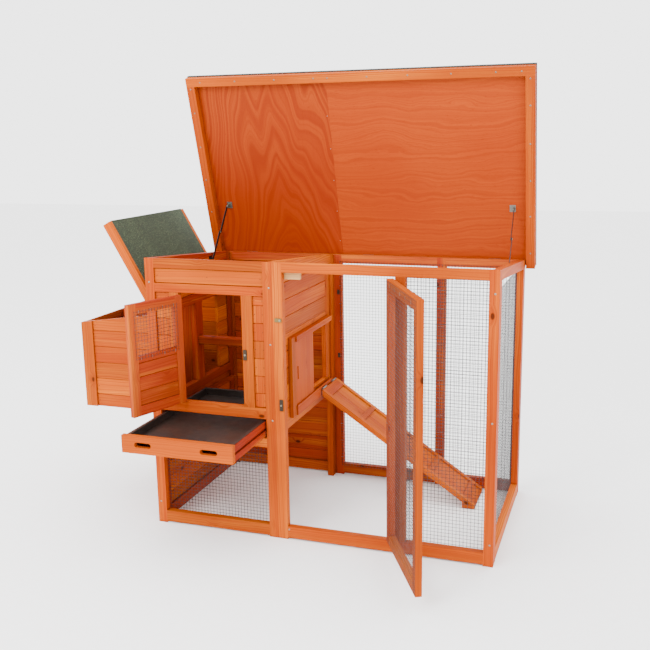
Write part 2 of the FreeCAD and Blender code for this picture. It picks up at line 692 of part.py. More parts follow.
def stay_lid_brackets():
    """Tabs under the lid with the upper pivots, shown with the lid open."""
    top = stay_points()[3]
    r = STAY_ARM_W / 2
    tab = lid_slab(STAY_TAB_X, (STAY_REACH - r, STAY_REACH + r), (-STAY_DROP, 0))
    round_end = cylinder((STAY_TAB_X[0], top[0], top[1]), r, STAY_TAB_X[1] - STAY_TAB_X[0], (1, 0, 0))
    plate = lid_slab((STAY_TAB_X[0] - 6, STAY_TAB_X[1] + 14), (STAY_REACH - 14, STAY_REACH + 14), (-1.5, 0))
    pin_x = STAY_UPPER_X[0] - STAY_END_GAP
    pin = cylinder((pin_x, top[0], top[1]), STAY_PIN_R, STAY_TAB_X[1] - pin_x, (1, 0, 0))
    bracket = tab.fuse([round_end, plate, pin]).removeSplitter()
    return open_lid(group([on_side(bracket, side) for side in ("left", "right")]))


def stay_lower_arm(side):
    """Arm on the wall bracket. Its elbow stud stops short of the upper arm."""
    foot, _, elbow = stay_points()[0:3]
    arm = flat_arm(STAY_LOWER_X, foot, elbow)
    bore_start = (STAY_LOWER_X[0] - 1, foot[0], foot[1])
    arm = arm.cut(cylinder(bore_start, STAY_PIN_R + PIN_PLAY, STAY_ARM_T + 2, (1, 0, 0)))
    stud_l = STAY_UPPER_X[0] - STAY_END_GAP - STAY_LOWER_X[1]
    stud = cylinder((STAY_LOWER_X[1], elbow[0], elbow[1]), STAY_PIN_R, stud_l, (1, 0, 0))
    return on_side(arm.fuse(stud).removeSplitter(), side)


def stay_upper_arm(side):
    top, elbow = stay_points()[1:3]
    arm = flat_arm(STAY_UPPER_X, top, elbow)
    bore = cylinder((STAY_UPPER_X[0] - 1, top[0], top[1]), STAY_PIN_R + PIN_PLAY, STAY_ARM_T + 2, (1, 0, 0))
    return on_side(arm.cut(bore), side)


# ---------------------------------------------------------------- nest lid

def open_nest_lid(shape):
    turned = shape.copy()
    turned.rotate(Vector(NEST_PIN_X, 0, NEST_PIN_Z), Vector(0, 1, 0), NEST_LID_OPEN)
    return turned


def nest_slab(reach, y, height):
    """Block in the lid's own plane: reach runs out from the pins, height up from its underside."""
    low = NEST_PIN_Z - NEST_LID_RAIL_H
    return box((NEST_PIN_X - reach[1], NEST_PIN_X - reach[0]), y, (low + height[0], low + height[1]))


NEST_LID_Y = (NEST_Y[0] - NEST_LID_SIDE_LAP, NEST_Y[1] + NEST_LID_SIDE_LAP)
NEST_LID_SPAN = (PIN_STAND_OFF, NEST_LID_REACH)


def nest_lid_rails():
    """Side rails at full height, and lower rails under the hinge edge and the free edge."""
    y0, y1 = NEST_LID_Y
    w = NEST_LID_RAIL_W
    sides = [nest_slab(NEST_LID_SPAN, y, (0, NEST_LID_RAIL_H)) for y in ((y0, y0 + w), (y1 - w, y1))]
    ends = [nest_slab(r, (y0 + w, y1 - w), (0, NEST_LID_CORE_H))
            for r in ((PIN_STAND_OFF, PIN_STAND_OFF + w), (NEST_LID_REACH - w, NEST_LID_REACH))]
    return open_nest_lid(group(sides + ends))


def nest_lid_inner_y():
    return (NEST_LID_Y[0] + NEST_LID_RAIL_W, NEST_LID_Y[1] - NEST_LID_RAIL_W)


def nest_lid_panel():
    height = (NEST_LID_CORE_H, NEST_LID_CORE_H + NEST_LID_PLY_T)
    return open_nest_lid(nest_slab(NEST_LID_SPAN, nest_lid_inner_y(), height))


def nest_lid_felt():
    low = NEST_LID_CORE_H + NEST_LID_PLY_T
    y = nest_lid_inner_y()
    end = NEST_LID_REACH + NEST_FELT_T
    sheet = nest_slab((PIN_STAND_OFF, end), y, (low, low + NEST_FELT_T))
    lip = nest_slab((NEST_LID_REACH, end), y, (low - FELT_LIP, low))
    return open_nest_lid(sheet.fuse(lip).removeSplitter())


def nest_lid_hinge_leaves():
    return open_nest_lid(group([leaf(p, (0, 0, -1), (1, 0, 0), False) for p in nest_pins()]))


# ---------------------------------------------------------------- doors

def swing(shape, pin, angle):
    turned = shape.copy()
    turned.rotate(Vector(*pin), Vector(0, 0, 1), angle)
    return turned


def open_house_door(shape):
    return swing(shape, house_door_pins()[0], -HOUSE_DOOR_OPEN)


HOUSE_DOOR_Y = (0.0, HOUSE_DOOR_T)
HOUSE_DOOR_MID_RAIL_Z = (HOUSE_DOOR_WINDOW_Z[0] - 22.0, HOUSE_DOOR_WINDOW_Z[0])
HOUSE_DOOR_INNER_X = (HOUSE_DOOR_X[0] + HOUSE_DOOR_STILE, HOUSE_DOOR_X[1] - HOUSE_DOOR_STILE)


def house_door_frame():
    z0, z1 = HOUSE_DOOR_Z
    spans = ((HOUSE_DOOR_X[0], HOUSE_DOOR_INNER_X[0]), (HOUSE_DOOR_INNER_X[1], HOUSE_DOOR_X[1]))
    stiles = [box(x, HOUSE_DOOR_Y, HOUSE_DOOR_Z) for x in spans]
    heights = ((z0, z0 + HOUSE_DOOR_RAIL), HOUSE_DOOR_MID_RAIL_Z, (HOUSE_DOOR_WINDOW_Z[1], z1))
    rails = [box(HOUSE_DOOR_INNER_X, HOUSE_DOOR_Y, z) for z in heights]
    return open_house_door(group(stiles + rails))


def house_door_boards():
    z = (HOUSE_DOOR_Z[0] + HOUSE_DOOR_RAIL, HOUSE_DOOR_MID_RAIL_Z[0])
    third = (z[1] - z[0]) / 3
    y = (3.0, HOUSE_DOOR_T - 3.0)
    heights = [(z[0] + i * third, z[0] + (i + 1) * third) for i in range(3)]
    return open_house_door(group([board(HOUSE_DOOR_INNER_X, y, pair, "x") for pair in heights]))


def house_door_mesh():
    lap = 12.0
    x = (HOUSE_DOOR_INNER_X[0] - lap, HOUSE_DOOR_INNER_X[1] + lap)
    z = (HOUSE_DOOR_WINDOW_Z[0] - lap, HOUSE_DOOR_WINDOW_Z[1] + lap)
    return open_house_door(box(x, (HOUSE_DOOR_T, HOUSE_DOOR_T + MESH_T), z))


def house_door_hinge_leaves():
    return open_house_door(group([leaf(p, (1, 0, 0), (0, -1, 0), False) for p in house_door_pins()]))


def open_run_door(shape):
    return swing(shape, run_door_pins()[0], RUN_DOOR_OPEN)


def run_door_stiles():
    x0, x1 = RUN_DOOR_X
    spans = ((x0, x0 + STOCK), (x1 - STOCK, x1))
    return open_run_door(group([box(x, (0, RUN_DOOR_T), RUN_DOOR_Z) for x in spans]))


def run_door_rails():
    x = (RUN_DOOR_X[0] + STOCK, RUN_DOOR_X[1] - STOCK)
    z0, z1 = RUN_DOOR_Z
    return open_run_door(group([box(x, (0, RUN_DOOR_T), z) for z in ((z0, z0 + STOCK), (z1 - STOCK, z1))]))


def run_door_mesh():
    inset = 3.0
    x = (RUN_DOOR_X[0] + inset, RUN_DOOR_X[1] - inset)
    z = (RUN_DOOR_Z[0] + inset, RUN_DOOR_Z[1] - inset)
    return open_run_door(box(x, (RUN_DOOR_T, RUN_DOOR_T + MESH_T), z))


def run_door_hinge_leaves():
    return open_run_door(group([leaf(p, (-1, 0, 0), (0, -1, 0), False) for p in run_door_pins()]))


# ---------------------------------------------------------------- tray and pop door

TRAY_FRONT_Y = (-TRAY_OUT, -TRAY_OUT + TRAY_FRONT_T)
TRAY_REAR_Y = TRAY_FRONT_Y[0] + TRAY_LENGTH


def finger_slot(centre_x):
    """Long hole with round ends through the tray front."""
    z = (TRAY_FRONT_Z[0] + TRAY_FRONT_Z[1]) / 2
    y = TRAY_FRONT_Y[0] - 1
    depth = TRAY_FRONT_T + 2
    half = (SLOT_L - SLOT_H) / 2
    slot = box((centre_x - half, centre_x + half), (y, y + depth), (z - SLOT_H / 2, z + SLOT_H / 2))
    for x in (centre_x - half, centre_x + half):
        slot = slot.fuse(cylinder((x, y, z), SLOT_H / 2, depth, (0, 1, 0)))
    return slot


def tray_front():
    front = box(TRAY_FRONT_X, TRAY_FRONT_Y, TRAY_FRONT_Z)
    for x in SLOT_CENTRES_X:
        front = front.cut(finger_slot(x))
    return front


def tray_drawer_box():
    """Grooved sides, back and floor board of the drawer."""
    y = (TRAY_FRONT_Y[1], TRAY_REAR_Y)
    groove_z = (RUNNER_Z[0] - TRAY_GROOVE_PLAY, RUNNER_Z[1] + TRAY_GROOVE_PLAY)
    x0, x1 = TRAY_FRONT_X[0] + 4, TRAY_FRONT_X[1] - 4
    left = box((x0, x0 + TRAY_SIDE_T), y, TRAY_SIDE_Z)
    left = left.cut(box((x0 - 1, LEFT_WALL_X[1] + RUNNER_DEPTH + 1), y, groove_z))
    right = box((x1 - TRAY_SIDE_T, x1), y, TRAY_SIDE_Z)
    right = right.cut(box((DIVIDER_X[0] - RUNNER_DEPTH - 1, x1 + 1), y, groove_z))
    inner = (x0 + TRAY_SIDE_T, x1 - TRAY_SIDE_T)
    back = box(inner, (y[1] - TRAY_SIDE_T, y[1]), TRAY_SIDE_Z)
    floor = box(inner, (y[0], y[1] - TRAY_SIDE_T), TRAY_FLOOR_Z)
    return group([left, right, back, floor])


def tray_pan():
    """Folded sheet metal pan whose rim rests on the drawer sides."""
    x0, x1 = TRAY_FRONT_X[0] + 8, TRAY_FRONT_X[1] - 8
    y0, y1 = TRAY_FRONT_Y[1] + 4, TRAY_REAR_Y
    rim_z = TRAY_SIDE_Z[1]
    wall = TRAY_SIDE_T - 2
    outer = ((x0 + wall, x1 - wall), (y0 + 3, y1 - TRAY_SIDE_T - 2))
    rim = box((x0, x1), (y0, y1), (rim_z, rim_z + PAN_T))
    tub = box(outer[0], outer[1], (rim_z - PAN_DEPTH, rim_z + PAN_T))
    hollow = box((outer[0][0] + PAN_T, outer[0][1] - PAN_T), (outer[1][0] + PAN_T, outer[1][1] - PAN_T),
                 (rim_z - PAN_DEPTH + PAN_T, rim_z + 2 * PAN_T))
    return rim.fuse(tub).removeSplitter().cut(hollow)


def pop_door_panel():
    x = pop_door_x(0.0)
    z = (LOWER_TRACK_Z[1] - POP_DOOR_IN_TRACK, UPPER_TRACK_Z[0] + POP_DOOR_IN_TRACK)
    panel = box(x, POP_DOOR_Y, z)
    grip = box((x[1] - 3, x[1] + 1), (POP_DOOR_Y[0] + 14, POP_DOOR_Y[0] + 24), POP_DOOR_GRIP_Z)
    return panel.cut(grip)


# ---------------------------------------------------------------- ramp

def ramp_slab(along, y, height):
    """Block in the ramp's own slope: along runs down from the top edge, height up from the tread face."""
    a = math.radians(RAMP_ANGLE)
    ca, sa = math.cos(a), math.sin(a)
    points = []
    for s, h in ((along[0], height[0]), (along[1], height[0]), (along[1], height[1]), (along[0], height[1])):
        points.append((RAMP_TOP_EDGE[0] + s * ca + h * sa, y[0], RAMP_TOP_EDGE[1] - s * sa + h * ca))
    slab = prism(points, (0, y[1] - y[0], 0))
    room = box((RAMP_TOP_EDGE[0], RAMP_FOOT_X[1]), (0, DEPTH), (GROUND_GAP, FRONT_H))
    return slab.common(room).Solids[0]


RAMP_INNER_Y = (RAMP_Y[0] + RAMP_RAIL_W, RAMP_Y[1] - RAMP_RAIL_W)
RAMP_BOARD_TOP = -6.0
RAMP_FULL = (-30.0, RAMP_LENGTH + 30.0)


def ramp_rails():
    """Side rails, and the block under the lower end that stands on the ground."""
    y0, y1 = RAMP_Y
    rail_h = (-RAMP_RAIL_H, 0)
    rails = [ramp_slab(RAMP_FULL, y, rail_h) for y in ((y0, y0 + RAMP_RAIL_W), (y1 - RAMP_RAIL_W, y1))]
    under = ramp_slab(RAMP_FULL, RAMP_Y, (-200.0, -RAMP_RAIL_H))
    foot = under.common(box(RAMP_FOOT_X, (0, DEPTH), (0, FRONT_H)))
    return group(rails + [foot])


def ramp_cleats():
    """Header board at the top edge, then the cleats, all flush with the side rails."""
    height = (RAMP_BOARD_TOP, RAMP_BOARD_TOP + RAMP_CLEAT[1])
    starts = [RAMP_CLEAT_FIRST + i * RAMP_CLEAT_PITCH for i in range(RAMP_CLEATS)]
    cleats = [ramp_slab((s, s + RAMP_CLEAT[0]), RAMP_INNER_Y, height) for s in starts]
    return group([ramp_slab((RAMP_FULL[0], RAMP_HEADER), RAMP_INNER_Y, height)] + cleats)


def ramp_boards():
    height = (RAMP_BOARD_TOP - RAMP_BOARD_T, RAMP_BOARD_TOP)
    middle = (RAMP_INNER_Y[0] + RAMP_INNER_Y[1]) / 2
    halves = ((RAMP_INNER_Y[0], middle - 0.5), (middle + 0.5, RAMP_INNER_Y[1]))
    return group([ramp_slab(RAMP_FULL, y, height) for y in halves])


def ramp_hinge_leaves():
    return group([leaf(p, (0, 0, -1), (-1, 0, 0), False) for p in ramp_pins()])


# ---------------------------------------------------------------- small hardware

def turn_button(spot):
    """Latch plate that turns on its screw."""
    x, z, reach_x, reach_z = spot
    plate = box((x + reach_x[0], x + reach_x[1]), BUTTON_Y, (z + reach_z[0], z + reach_z[1]))
    plate = plate.makeFillet(2.0, [e for e in plate.Edges if e.BoundBox.YLength > 1])
    return plate.cut(cylinder((x, BUTTON_Y[0] - 1, z), BUTTON_PIN_R + 0.08, 4, (0, 1, 0)))


def pivot_screw(spot):
    x, z = spot[0:2]
    shank = cylinder((x, BUTTON_HEAD_Y[0], z), BUTTON_PIN_R, -BUTTON_HEAD_Y[0], (0, 1, 0))
    head_t = BUTTON_HEAD_Y[1] - BUTTON_HEAD_Y[0]
    return shank.fuse(cylinder((x, BUTTON_HEAD_Y[0], z), BUTTON_HEAD_R, head_t, (0, 1, 0))).removeSplitter()


def screw_head(x, z):
    dome = Part.makeSphere(SCREW_R * 1.6, Vector(x, SCREW_R * 1.6 - SCREW_H, z))
    return dome.common(box((x - 9, x + 9), (-9, 0), (z - 9, z + 9)))


def front_screws():
    """Screw heads on the front frames and the pivot screws of the turn buttons."""
    pivots = [pivot_screw(spot) for spot in (HOUSE_BUTTON, RUN_BUTTON_UPPER, RUN_BUTTON_LOWER)]
    return group(pivots + [screw_head(x, z) for x, z in SCREWS_XZ])


# ---------------------------------------------------------------- export

BODIES = {
    "coop_frame": {
        "house_front_stiles": house_front_stiles, "house_front_rails": house_front_rails,
        "house_front_boards": house_front_boards,
        "house_front_mesh": house_front_mesh,
        "left_wall_frame": left_wall_frame, "left_wall_boards": left_wall_boards,
        "rear_wall_frame": rear_wall_frame, "rear_wall_boards": rear_wall_boards,
        "divider_frame": divider_frame, "divider_boards": divider_boards,
        "pop_door_tracks": pop_door_tracks, "perch_bar": perch_bar,
        "tray_runners": tray_runners, "nest_box_stiles": nest_box_stiles,
        "nest_box_boards": nest_box_boards, "nest_box_floor": nest_box_floor,
        "run_front_stiles": run_front_stiles, "run_front_rails": run_front_rails,
        "run_door_stop": run_door_stop, "run_front_mesh": run_front_mesh, "run_side_frame": run_side_frame,
        "run_side_mesh": run_side_mesh, "run_rear_frame": run_rear_frame,
        "run_rear_mesh": run_rear_mesh, "fixed_hinge_leaves": fixed_hinge_leaves,
        "stay_wall_brackets": stay_wall_brackets, "front_screws": front_screws},
    "roof_lid": {
        "roof_lid_rails": roof_lid_rails,
        "roof_panel_left": lambda: roof_panel((LID_X[0], LID_SEAM_X)),
        "roof_panel_right": lambda: roof_panel((LID_SEAM_X, LID_X[1])),
        "roof_felt": roof_felt, "roof_hinge_leaves": roof_hinge_leaves,
        "stay_lid_brackets": stay_lid_brackets},
    "stay_left_lower": {"stay_left_lower_arm": lambda: stay_lower_arm("left")},
    "stay_left_upper": {"stay_left_upper_arm": lambda: stay_upper_arm("left")},
    "stay_right_lower": {"stay_right_lower_arm": lambda: stay_lower_arm("right")},
    "stay_right_upper": {"stay_right_upper_arm": lambda: stay_upper_arm("right")},
    "nest_lid": {
        "nest_lid_rails": nest_lid_rails, "nest_lid_panel": nest_lid_panel,
        "nest_lid_felt": nest_lid_felt, "nest_lid_hinge_leaves": nest_lid_hinge_leaves},
    "house_door": {
        "house_door_frame": house_door_frame,
        "house_door_boards": house_door_boards,
        "house_door_mesh": house_door_mesh, "house_door_hinge_leaves": house_door_hinge_leaves},
    "run_door": {
        "run_door_stiles": run_door_stiles, "run_door_rails": run_door_rails,
        "run_door_mesh": run_door_mesh,
        "run_door_hinge_leaves": run_door_hinge_leaves},
    "tray": {"tray_front": tray_front, "tray_drawer_box": tray_drawer_box, "tray_pan": tray_pan},
    "pop_door": {"pop_door_panel": pop_door_panel},
    "ramp": {
        "ramp_rails": ramp_rails, "ramp_boards": ramp_boards, "ramp_cleats": ramp_cleats,
        "ramp_hinge_leaves": ramp_hinge_leaves},
    "house_door_button": {"house_door_button_plate": lambda: turn_button(HOUSE_BUTTON)},
    "run_door_upper_button": {"run_door_upper_button_plate": lambda: turn_button(RUN_BUTTON_UPPER)},
    "run_door_lower_button": {"run_door_lower_button_plate": lambda: turn_button(RUN_BUTTON_LOWER)},
}


def build():
    """All parts by name, and the shift that brings their bottom centre to the origin."""
    shapes = {name: make() for nodes in BODIES.values() for name, make in nodes.items()}
    bounds = group(list(shapes.values())).BoundBox
    shift = Vector(-(bounds.XMin + bounds.XMax) / 2, -(bounds.YMin + bounds.YMax) / 2, -bounds.ZMin)
    for shape in shapes.values():
        shape.translate(shift)
    return shapes, shift


def main():
    os.makedirs("parts", exist_ok=True)
    shapes, shift = build()
    for name, shape in shapes.items():
        shape.exportStep(os.path.join("parts", name + ".step"))
    print(len(shapes), "parts, shift", shift)


if __name__ == "__main__":
    main()
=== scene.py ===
import math
import random
from itertools import product

import bpy
from mathutils import Euler, Matrix, Vector


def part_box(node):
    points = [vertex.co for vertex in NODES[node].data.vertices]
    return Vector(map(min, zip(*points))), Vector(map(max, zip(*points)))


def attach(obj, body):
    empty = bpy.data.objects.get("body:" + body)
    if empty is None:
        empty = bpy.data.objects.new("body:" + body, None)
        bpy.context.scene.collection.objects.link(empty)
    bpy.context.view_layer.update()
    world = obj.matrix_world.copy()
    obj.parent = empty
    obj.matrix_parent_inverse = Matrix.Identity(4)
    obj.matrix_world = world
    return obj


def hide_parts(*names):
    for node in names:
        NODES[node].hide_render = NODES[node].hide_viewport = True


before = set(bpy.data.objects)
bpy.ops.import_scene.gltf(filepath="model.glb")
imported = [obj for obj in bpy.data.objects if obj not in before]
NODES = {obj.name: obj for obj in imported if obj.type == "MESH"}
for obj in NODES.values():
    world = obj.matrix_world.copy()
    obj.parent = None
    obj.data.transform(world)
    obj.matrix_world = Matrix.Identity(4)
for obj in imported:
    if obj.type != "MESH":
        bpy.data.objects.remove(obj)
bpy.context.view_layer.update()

SEED = 7
rng = random.Random(SEED)

RIGHT, LEFT = Vector((1, 0, 0)), Vector((-1, 0, 0))
FRONT, REAR = Vector((0, -1, 0)), Vector((0, 1, 0))
UP = Vector((0, 0, 1))

# The coop is laid out in millimetres from its front left foot: x to the right, y to the rear, z up.
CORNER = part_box("house_front_stiles")[0]
MM_PER_M = 1000.0


def P(x, y, z):
    """Millimetres from the coop's front left foot to metres in the shared frame."""
    return CORNER + Vector((x, y, z)) / MM_PER_M


# ------------------------------------------------------------ places on the open lid and doors

PIN_STANDOFF = 3.2  # from a hinged face to the pin beside it
LID_PIN = Vector((0.0, 693.2, 956.517))
NEST_PIN_Z = 825
HOUSE_DOOR_PIN = Vector((131.25, -PIN_STANDOFF, 0.0))
RUN_DOOR_PIN = Vector((930.8, -PIN_STANDOFF, 0.0))
RAMP_PIN_Z = 440.3

# How far each body stands from the level or shut state in the pose that the CAD shows.
LID_OPEN = math.radians(74.1)
NEST_OPEN = math.radians(60.2)
HOUSE_DOOR_OPEN = math.radians(-110.0)
RUN_DOOR_OPEN = math.radians(118.0)
RAMP_SLOPE = math.radians(34.0)


def lid_point(x, reach, height):
    """Point on the open roof lid: reach from the pins, height above its inner face."""
    c, s = math.cos(LID_OPEN), math.sin(LID_OPEN)
    lift = height + PIN_STANDOFF
    return P(x, LID_PIN.y - c * reach + s * lift, LID_PIN.z + s * reach + c * lift)


def swung(x, y, z, pin, angle):
    """Point on an open door, given where it is with the door shut."""
    c, s = math.cos(angle), math.sin(angle)
    dx, dy = x - pin.x, y - pin.y
    return P(pin.x + c * dx - s * dy, pin.y + s * dx + c * dy, z)


def house_door_point(x, y, z):
    return swung(x, y, z, HOUSE_DOOR_PIN, HOUSE_DOOR_OPEN)


def run_door_point(x, y, z):
    return swung(x, y, z, RUN_DOOR_PIN, RUN_DOOR_OPEN)


def turned(point, x, y, z):
    """Where the arrow (x, y, z) on a body points, given the body's own point function."""
    return point(x, y, z) - point(0, 0, 0)


# ------------------------------------------------------------ shader helpers

BEVEL_SAMPLES = 4
CREVICE_SAMPLES = 6
NO_TURN = (0, 0, 0)


class Tree:
    """Small wrapper that adds nodes and links them by input name."""

    def __init__(self, name):
        self.material = bpy.data.materials.new(name)
        self.material.use_nodes = True
        self.nodes = self.material.node_tree.nodes
        self.links = self.material.node_tree.links
        self.bsdf = self.nodes["Principled BSDF"]

    def put(self, socket, value):
        if isinstance(value, bpy.types.NodeSocket):
            self.links.new(value, socket)
        else:
            socket.default_value = value

    def add(self, kind, inputs=(), **settings):
        node = self.nodes.new(kind)
        for key, value in settings.items():
            setattr(node, key, value)
        for key, value in dict(inputs).items():
            self.put(node.inputs[key], value)
        return node

    def object_coordinates(self):
        return self.add("ShaderNodeTexCoord").outputs["Object"]

    def math(self, op, a, b=0.0, c=0.0):
        return self.add("ShaderNodeMath", {0: a, 1: b, 2: c}, operation=op).outputs[0]

    def mix(self, factor, a, b):
        """Colour a where factor is 0, colour b where it is 1."""
        node = self.add("ShaderNodeMix", data_type="RGBA", blend_type="MIX")
        # A colour mix has its factor at input 0, its colours at 6 and 7 and its result at 2.
        for index, value in ((0, factor), (6, a), (7, b)):
            self.put(node.inputs[index], value)
        return node.outputs[2]

    def ramp(self, value, low, high, out_low=0.0, out_high=1.0):
        """Smooth step from out_low at low to out_high at high."""
        node = self.add("ShaderNodeMapRange", {0: value, 1: low, 2: high, 3: out_low, 4: out_high})
        node.interpolation_type = "SMOOTHSTEP"
        return node.outputs[0]

    def noise(self, vector, scale=1.0, detail=3.0, rough=0.5):
        node = self.add("ShaderNodeTexNoise", {
            "Vector": vector, "Scale": scale, "Detail": detail, "Roughness": rough,
            "Distortion": 0.0})
        return node.outputs[0]

    def noise_1d(self, w, frequency, detail, rough):
        node = self.add("ShaderNodeTexNoise", noise_dimensions="1D")
        w = self.math("MULTIPLY", w, frequency)
        for key, value in (("W", w), ("Scale", 1.0), ("Detail", detail), ("Roughness", rough)):
            self.put(node.inputs[key], value)
        return node.outputs[0]

    def scaled(self, vector, scale, offset=(0, 0, 0), rotation=NO_TURN):
        node = self.add("ShaderNodeMapping", {
            "Vector": vector, "Location": offset, "Rotation": rotation, "Scale": scale})
        return node.outputs[0]

    def finish(self, color, roughness, bump=None, strength=0.2, distance=0.001, edge=0.0,
               metallic=0.0, shine=0.5):
        """Sets the surface: a bump with its strength and depth, and worn edges of radius edge."""
        for key, value in (("Base Color", color), ("Roughness", roughness), ("Metallic", metallic),
                           ("Specular IOR Level", shine)):
            self.put(self.bsdf.inputs[key], value)
        normal = None
        if edge:
            normal = self.add("ShaderNodeBevel", {"Radius": edge}, samples=BEVEL_SAMPLES).outputs[0]
        if bump is not None:
            node = self.add("ShaderNodeBump", {
                "Height": bump, "Strength": strength, "Distance": distance})
            if normal is not None:
                self.put(node.inputs["Normal"], normal)
            normal = node.outputs[0]
        if normal is not None:
            self.put(self.bsdf.inputs["Normal"], normal)
        return self.material


def opaque(r, g, b):
    return (r, g, b, 1.0)


ALBEDO = 0.42  # the studio is bright, so display colours are toned down by this


def rgb(r, g, b):
    """Surface colour from display values of 0 to 255, by the sRGB curve."""
    def linear(v):
        v /= 255.0
        return v / 12.92 if v <= 0.04045 else ((v + 0.055) / 1.055) ** 2.4
    return opaque(*(ALBEDO * linear(v) for v in (r, g, b)))


# ------------------------------------------------------------ wood

# Linear colours of the light earlywood, the latewood band and the knots.
# The shade and inside stains are darker copies of the same stained wood: painted shade for the
# parts at the rear, inside the house and on the house door.
STAINS = {
    "frame": ((0.38, 0.053, 0.001), (0.21, 0.020, 0.001), (0.030, 0.006, 0.002)),
    "siding": ((0.39, 0.057, 0.002), (0.23, 0.024, 0.001), (0.035, 0.007, 0.002)),
    "shade": ((0.29, 0.031, 0.006), (0.17, 0.013, 0.004), (0.028, 0.006, 0.002)),
    "pale": ((0.62, 0.34, 0.15), (0.50, 0.24, 0.09), (0.18, 0.08, 0.03)),
    "inside": ((0.27, 0.025, 0.006), (0.16, 0.011, 0.004), (0.028, 0.005, 0.002)),
}
WARM_STREAK = opaque(0.54, 0.125, 0.006)
# Where in the pattern a board is cut from, how bright it is, and its shift of hue.
TINTS = (
    ((0.0, 0.0, 0.0), 1.0, 0.0),
    ((3.1, 1.7, 5.3), 0.84, 0.004),
    ((7.7, 4.1, 2.9), 1.14, 0.006),
    ((1.9, 8.3, 6.1), 0.93, 0.001),
)
# Turn that brings the grain's axis onto x.
GRAIN_TURNS = {"y": (0, 0, math.radians(-90)), "z": (0, math.radians(90), 0)}

# How fine each pattern is, per metre: along the grain and across it.
WARP = (2.2, 9, 9)
KNOTS = (8, 14, 14)
FIBRES = (6, 420, 420)
BLOTCHES = (1.6, 5, 5)
STREAKS = (1.3, 24, 24)
RINGS = 260.0
RING_SLANT = 0.8  # how much of the rings' pattern comes from z rather than y
RING_WANDER = 0.03  # metres
KNOT_RARITY = 0.58  # share of the knot cells that stay empty
KNOT_BEND = 0.012  # metres that the rings give way to a knot
# How strongly each feature draws the colour towards the latewood band.
RING_PULL, FIBRE_PULL, BLOTCH_PULL, HALO_PULL = 0.62, 0.25, 0.6, 0.45
# The same towards the warm streaks, the knots and the painted shade in the crevices.
STREAK_PULL, KNOT_PULL, CREVICE_PULL = 0.8, 0.85, 0.7
CREVICE_SHADE_WARMTH = 0.35  # share of the latewood band in the painted crevice shade, the rest being knot colour
STREAK_WARMTH = 0.6
CREVICE_REACH = 0.012  # metres
WOOD_RELIEF, WOOD_EDGE = 0.0006, 0.0016  # metres
WOOD_SHINE = 0.04
made = {}


def grain_coordinates(t, axis, rotation, offset):
    """Object coordinates turned so that x runs along the grain."""
    coords = t.scaled(t.object_coordinates(), (1, 1, 1), rotation=rotation)
    if axis in GRAIN_TURNS:
        coords = t.scaled(coords, (1, 1, 1), rotation=GRAIN_TURNS[axis])
    return t.scaled(coords, (1, 1, 1), offset)


def wood(stain, axis="x", tint=0, rotation=NO_TURN):
    """Stained softwood: growth rings, fibres, warm streaks and scattered knots."""
    key = (stain, axis, tint, tuple(round(r, 4) for r in rotation))
    if key in made:
        return made[key]
    light, band, knot_color = (opaque(*color) for color in STAINS[stain])
    offset, value, hue = TINTS[tint]
    t = Tree("wood_%s_%s_%d_%d" % (stain, axis, tint, len(made)))
    p = grain_coordinates(t, axis, rotation, offset)

    warp = t.noise(t.scaled(p, WARP), detail=2.0)
    knots = t.add("ShaderNodeTexVoronoi", {
        "Vector": t.scaled(p, KNOTS), "Scale": 1.0, "Randomness": 1.0})
    luck = t.add("ShaderNodeSeparateColor", {0: knots.outputs["Color"]}).outputs[0]
    chosen = t.math("GREATER_THAN", luck, KNOT_RARITY)
    halo = t.math("MULTIPLY", chosen, t.ramp(knots.outputs["Distance"], 0.34, 0.06))
    core = t.math("MULTIPLY", chosen, t.ramp(knots.outputs["Distance"], 0.12, 0.06))

    # The rings run along the grain, wander a little and bend round the knots.
    xyz = t.add("ShaderNodeSeparateXYZ", {0: p})
    across = t.math("ADD", xyz.outputs[1], t.math("MULTIPLY", xyz.outputs[2], RING_SLANT))
    bent = t.math("ADD", across, t.math("MULTIPLY", warp, RING_WANDER))
    bent = t.math("ADD", bent, t.math("MULTIPLY", halo, KNOT_BEND))
    rings = t.ramp(t.noise_1d(bent, RINGS, detail=2.0, rough=0.55), 0.38, 0.66)
    fibres = t.noise(t.scaled(p, FIBRES), detail=4.0, rough=0.6)
    blotch = t.noise(t.scaled(p, BLOTCHES), detail=2.0)
    streak = t.noise(t.scaled(p, STREAKS), detail=3.0, rough=0.55)

    warm = t.mix(STREAK_WARMTH, light, WARM_STREAK)
    color = t.mix(t.ramp(streak, 0.46, 0.66, out_high=STREAK_PULL), light, warm)
    for amount in (t.math("MULTIPLY", rings, RING_PULL),
                   t.ramp(fibres, 0.5, 0.75, out_high=FIBRE_PULL),
                   t.ramp(blotch, 0.4, 0.72, out_high=BLOTCH_PULL),
                   t.math("MULTIPLY", halo, HALO_PULL)):
        color = t.mix(amount, color, band)
    color = t.mix(t.math("MULTIPLY", core, KNOT_PULL), color, knot_color)
    # Painted shade: ambient occlusion darkens crevices, joints and recesses towards a dark
    # red-brown.
    crevice = t.add(
        "ShaderNodeAmbientOcclusion", {"Distance": CREVICE_REACH}, samples=CREVICE_SAMPLES)
    crevice_shade = t.mix(CREVICE_SHADE_WARMTH, knot_color, band)
    color = t.mix(t.ramp(crevice.outputs["AO"], 0.85, 0.25, out_high=CREVICE_PULL), color, crevice_shade)
    tone = t.add("ShaderNodeHueSaturation", {
        "Hue": 0.5 + hue, "Saturation": 1.0, "Value": value, "Color": color})
    relief = t.math("ADD", t.math("MULTIPLY", fibres, 0.6), t.math("MULTIPLY", rings, 0.4))
    made[key] = t.finish(
        tone.outputs[0], t.ramp(fibres, 0.2, 0.8, 0.42, 0.6), relief,
        strength=0.25, distance=WOOD_RELIEF, edge=WOOD_EDGE, shine=WOOD_SHINE)
    return made[key]


# ------------------------------------------------------------ plywood, felt and metal

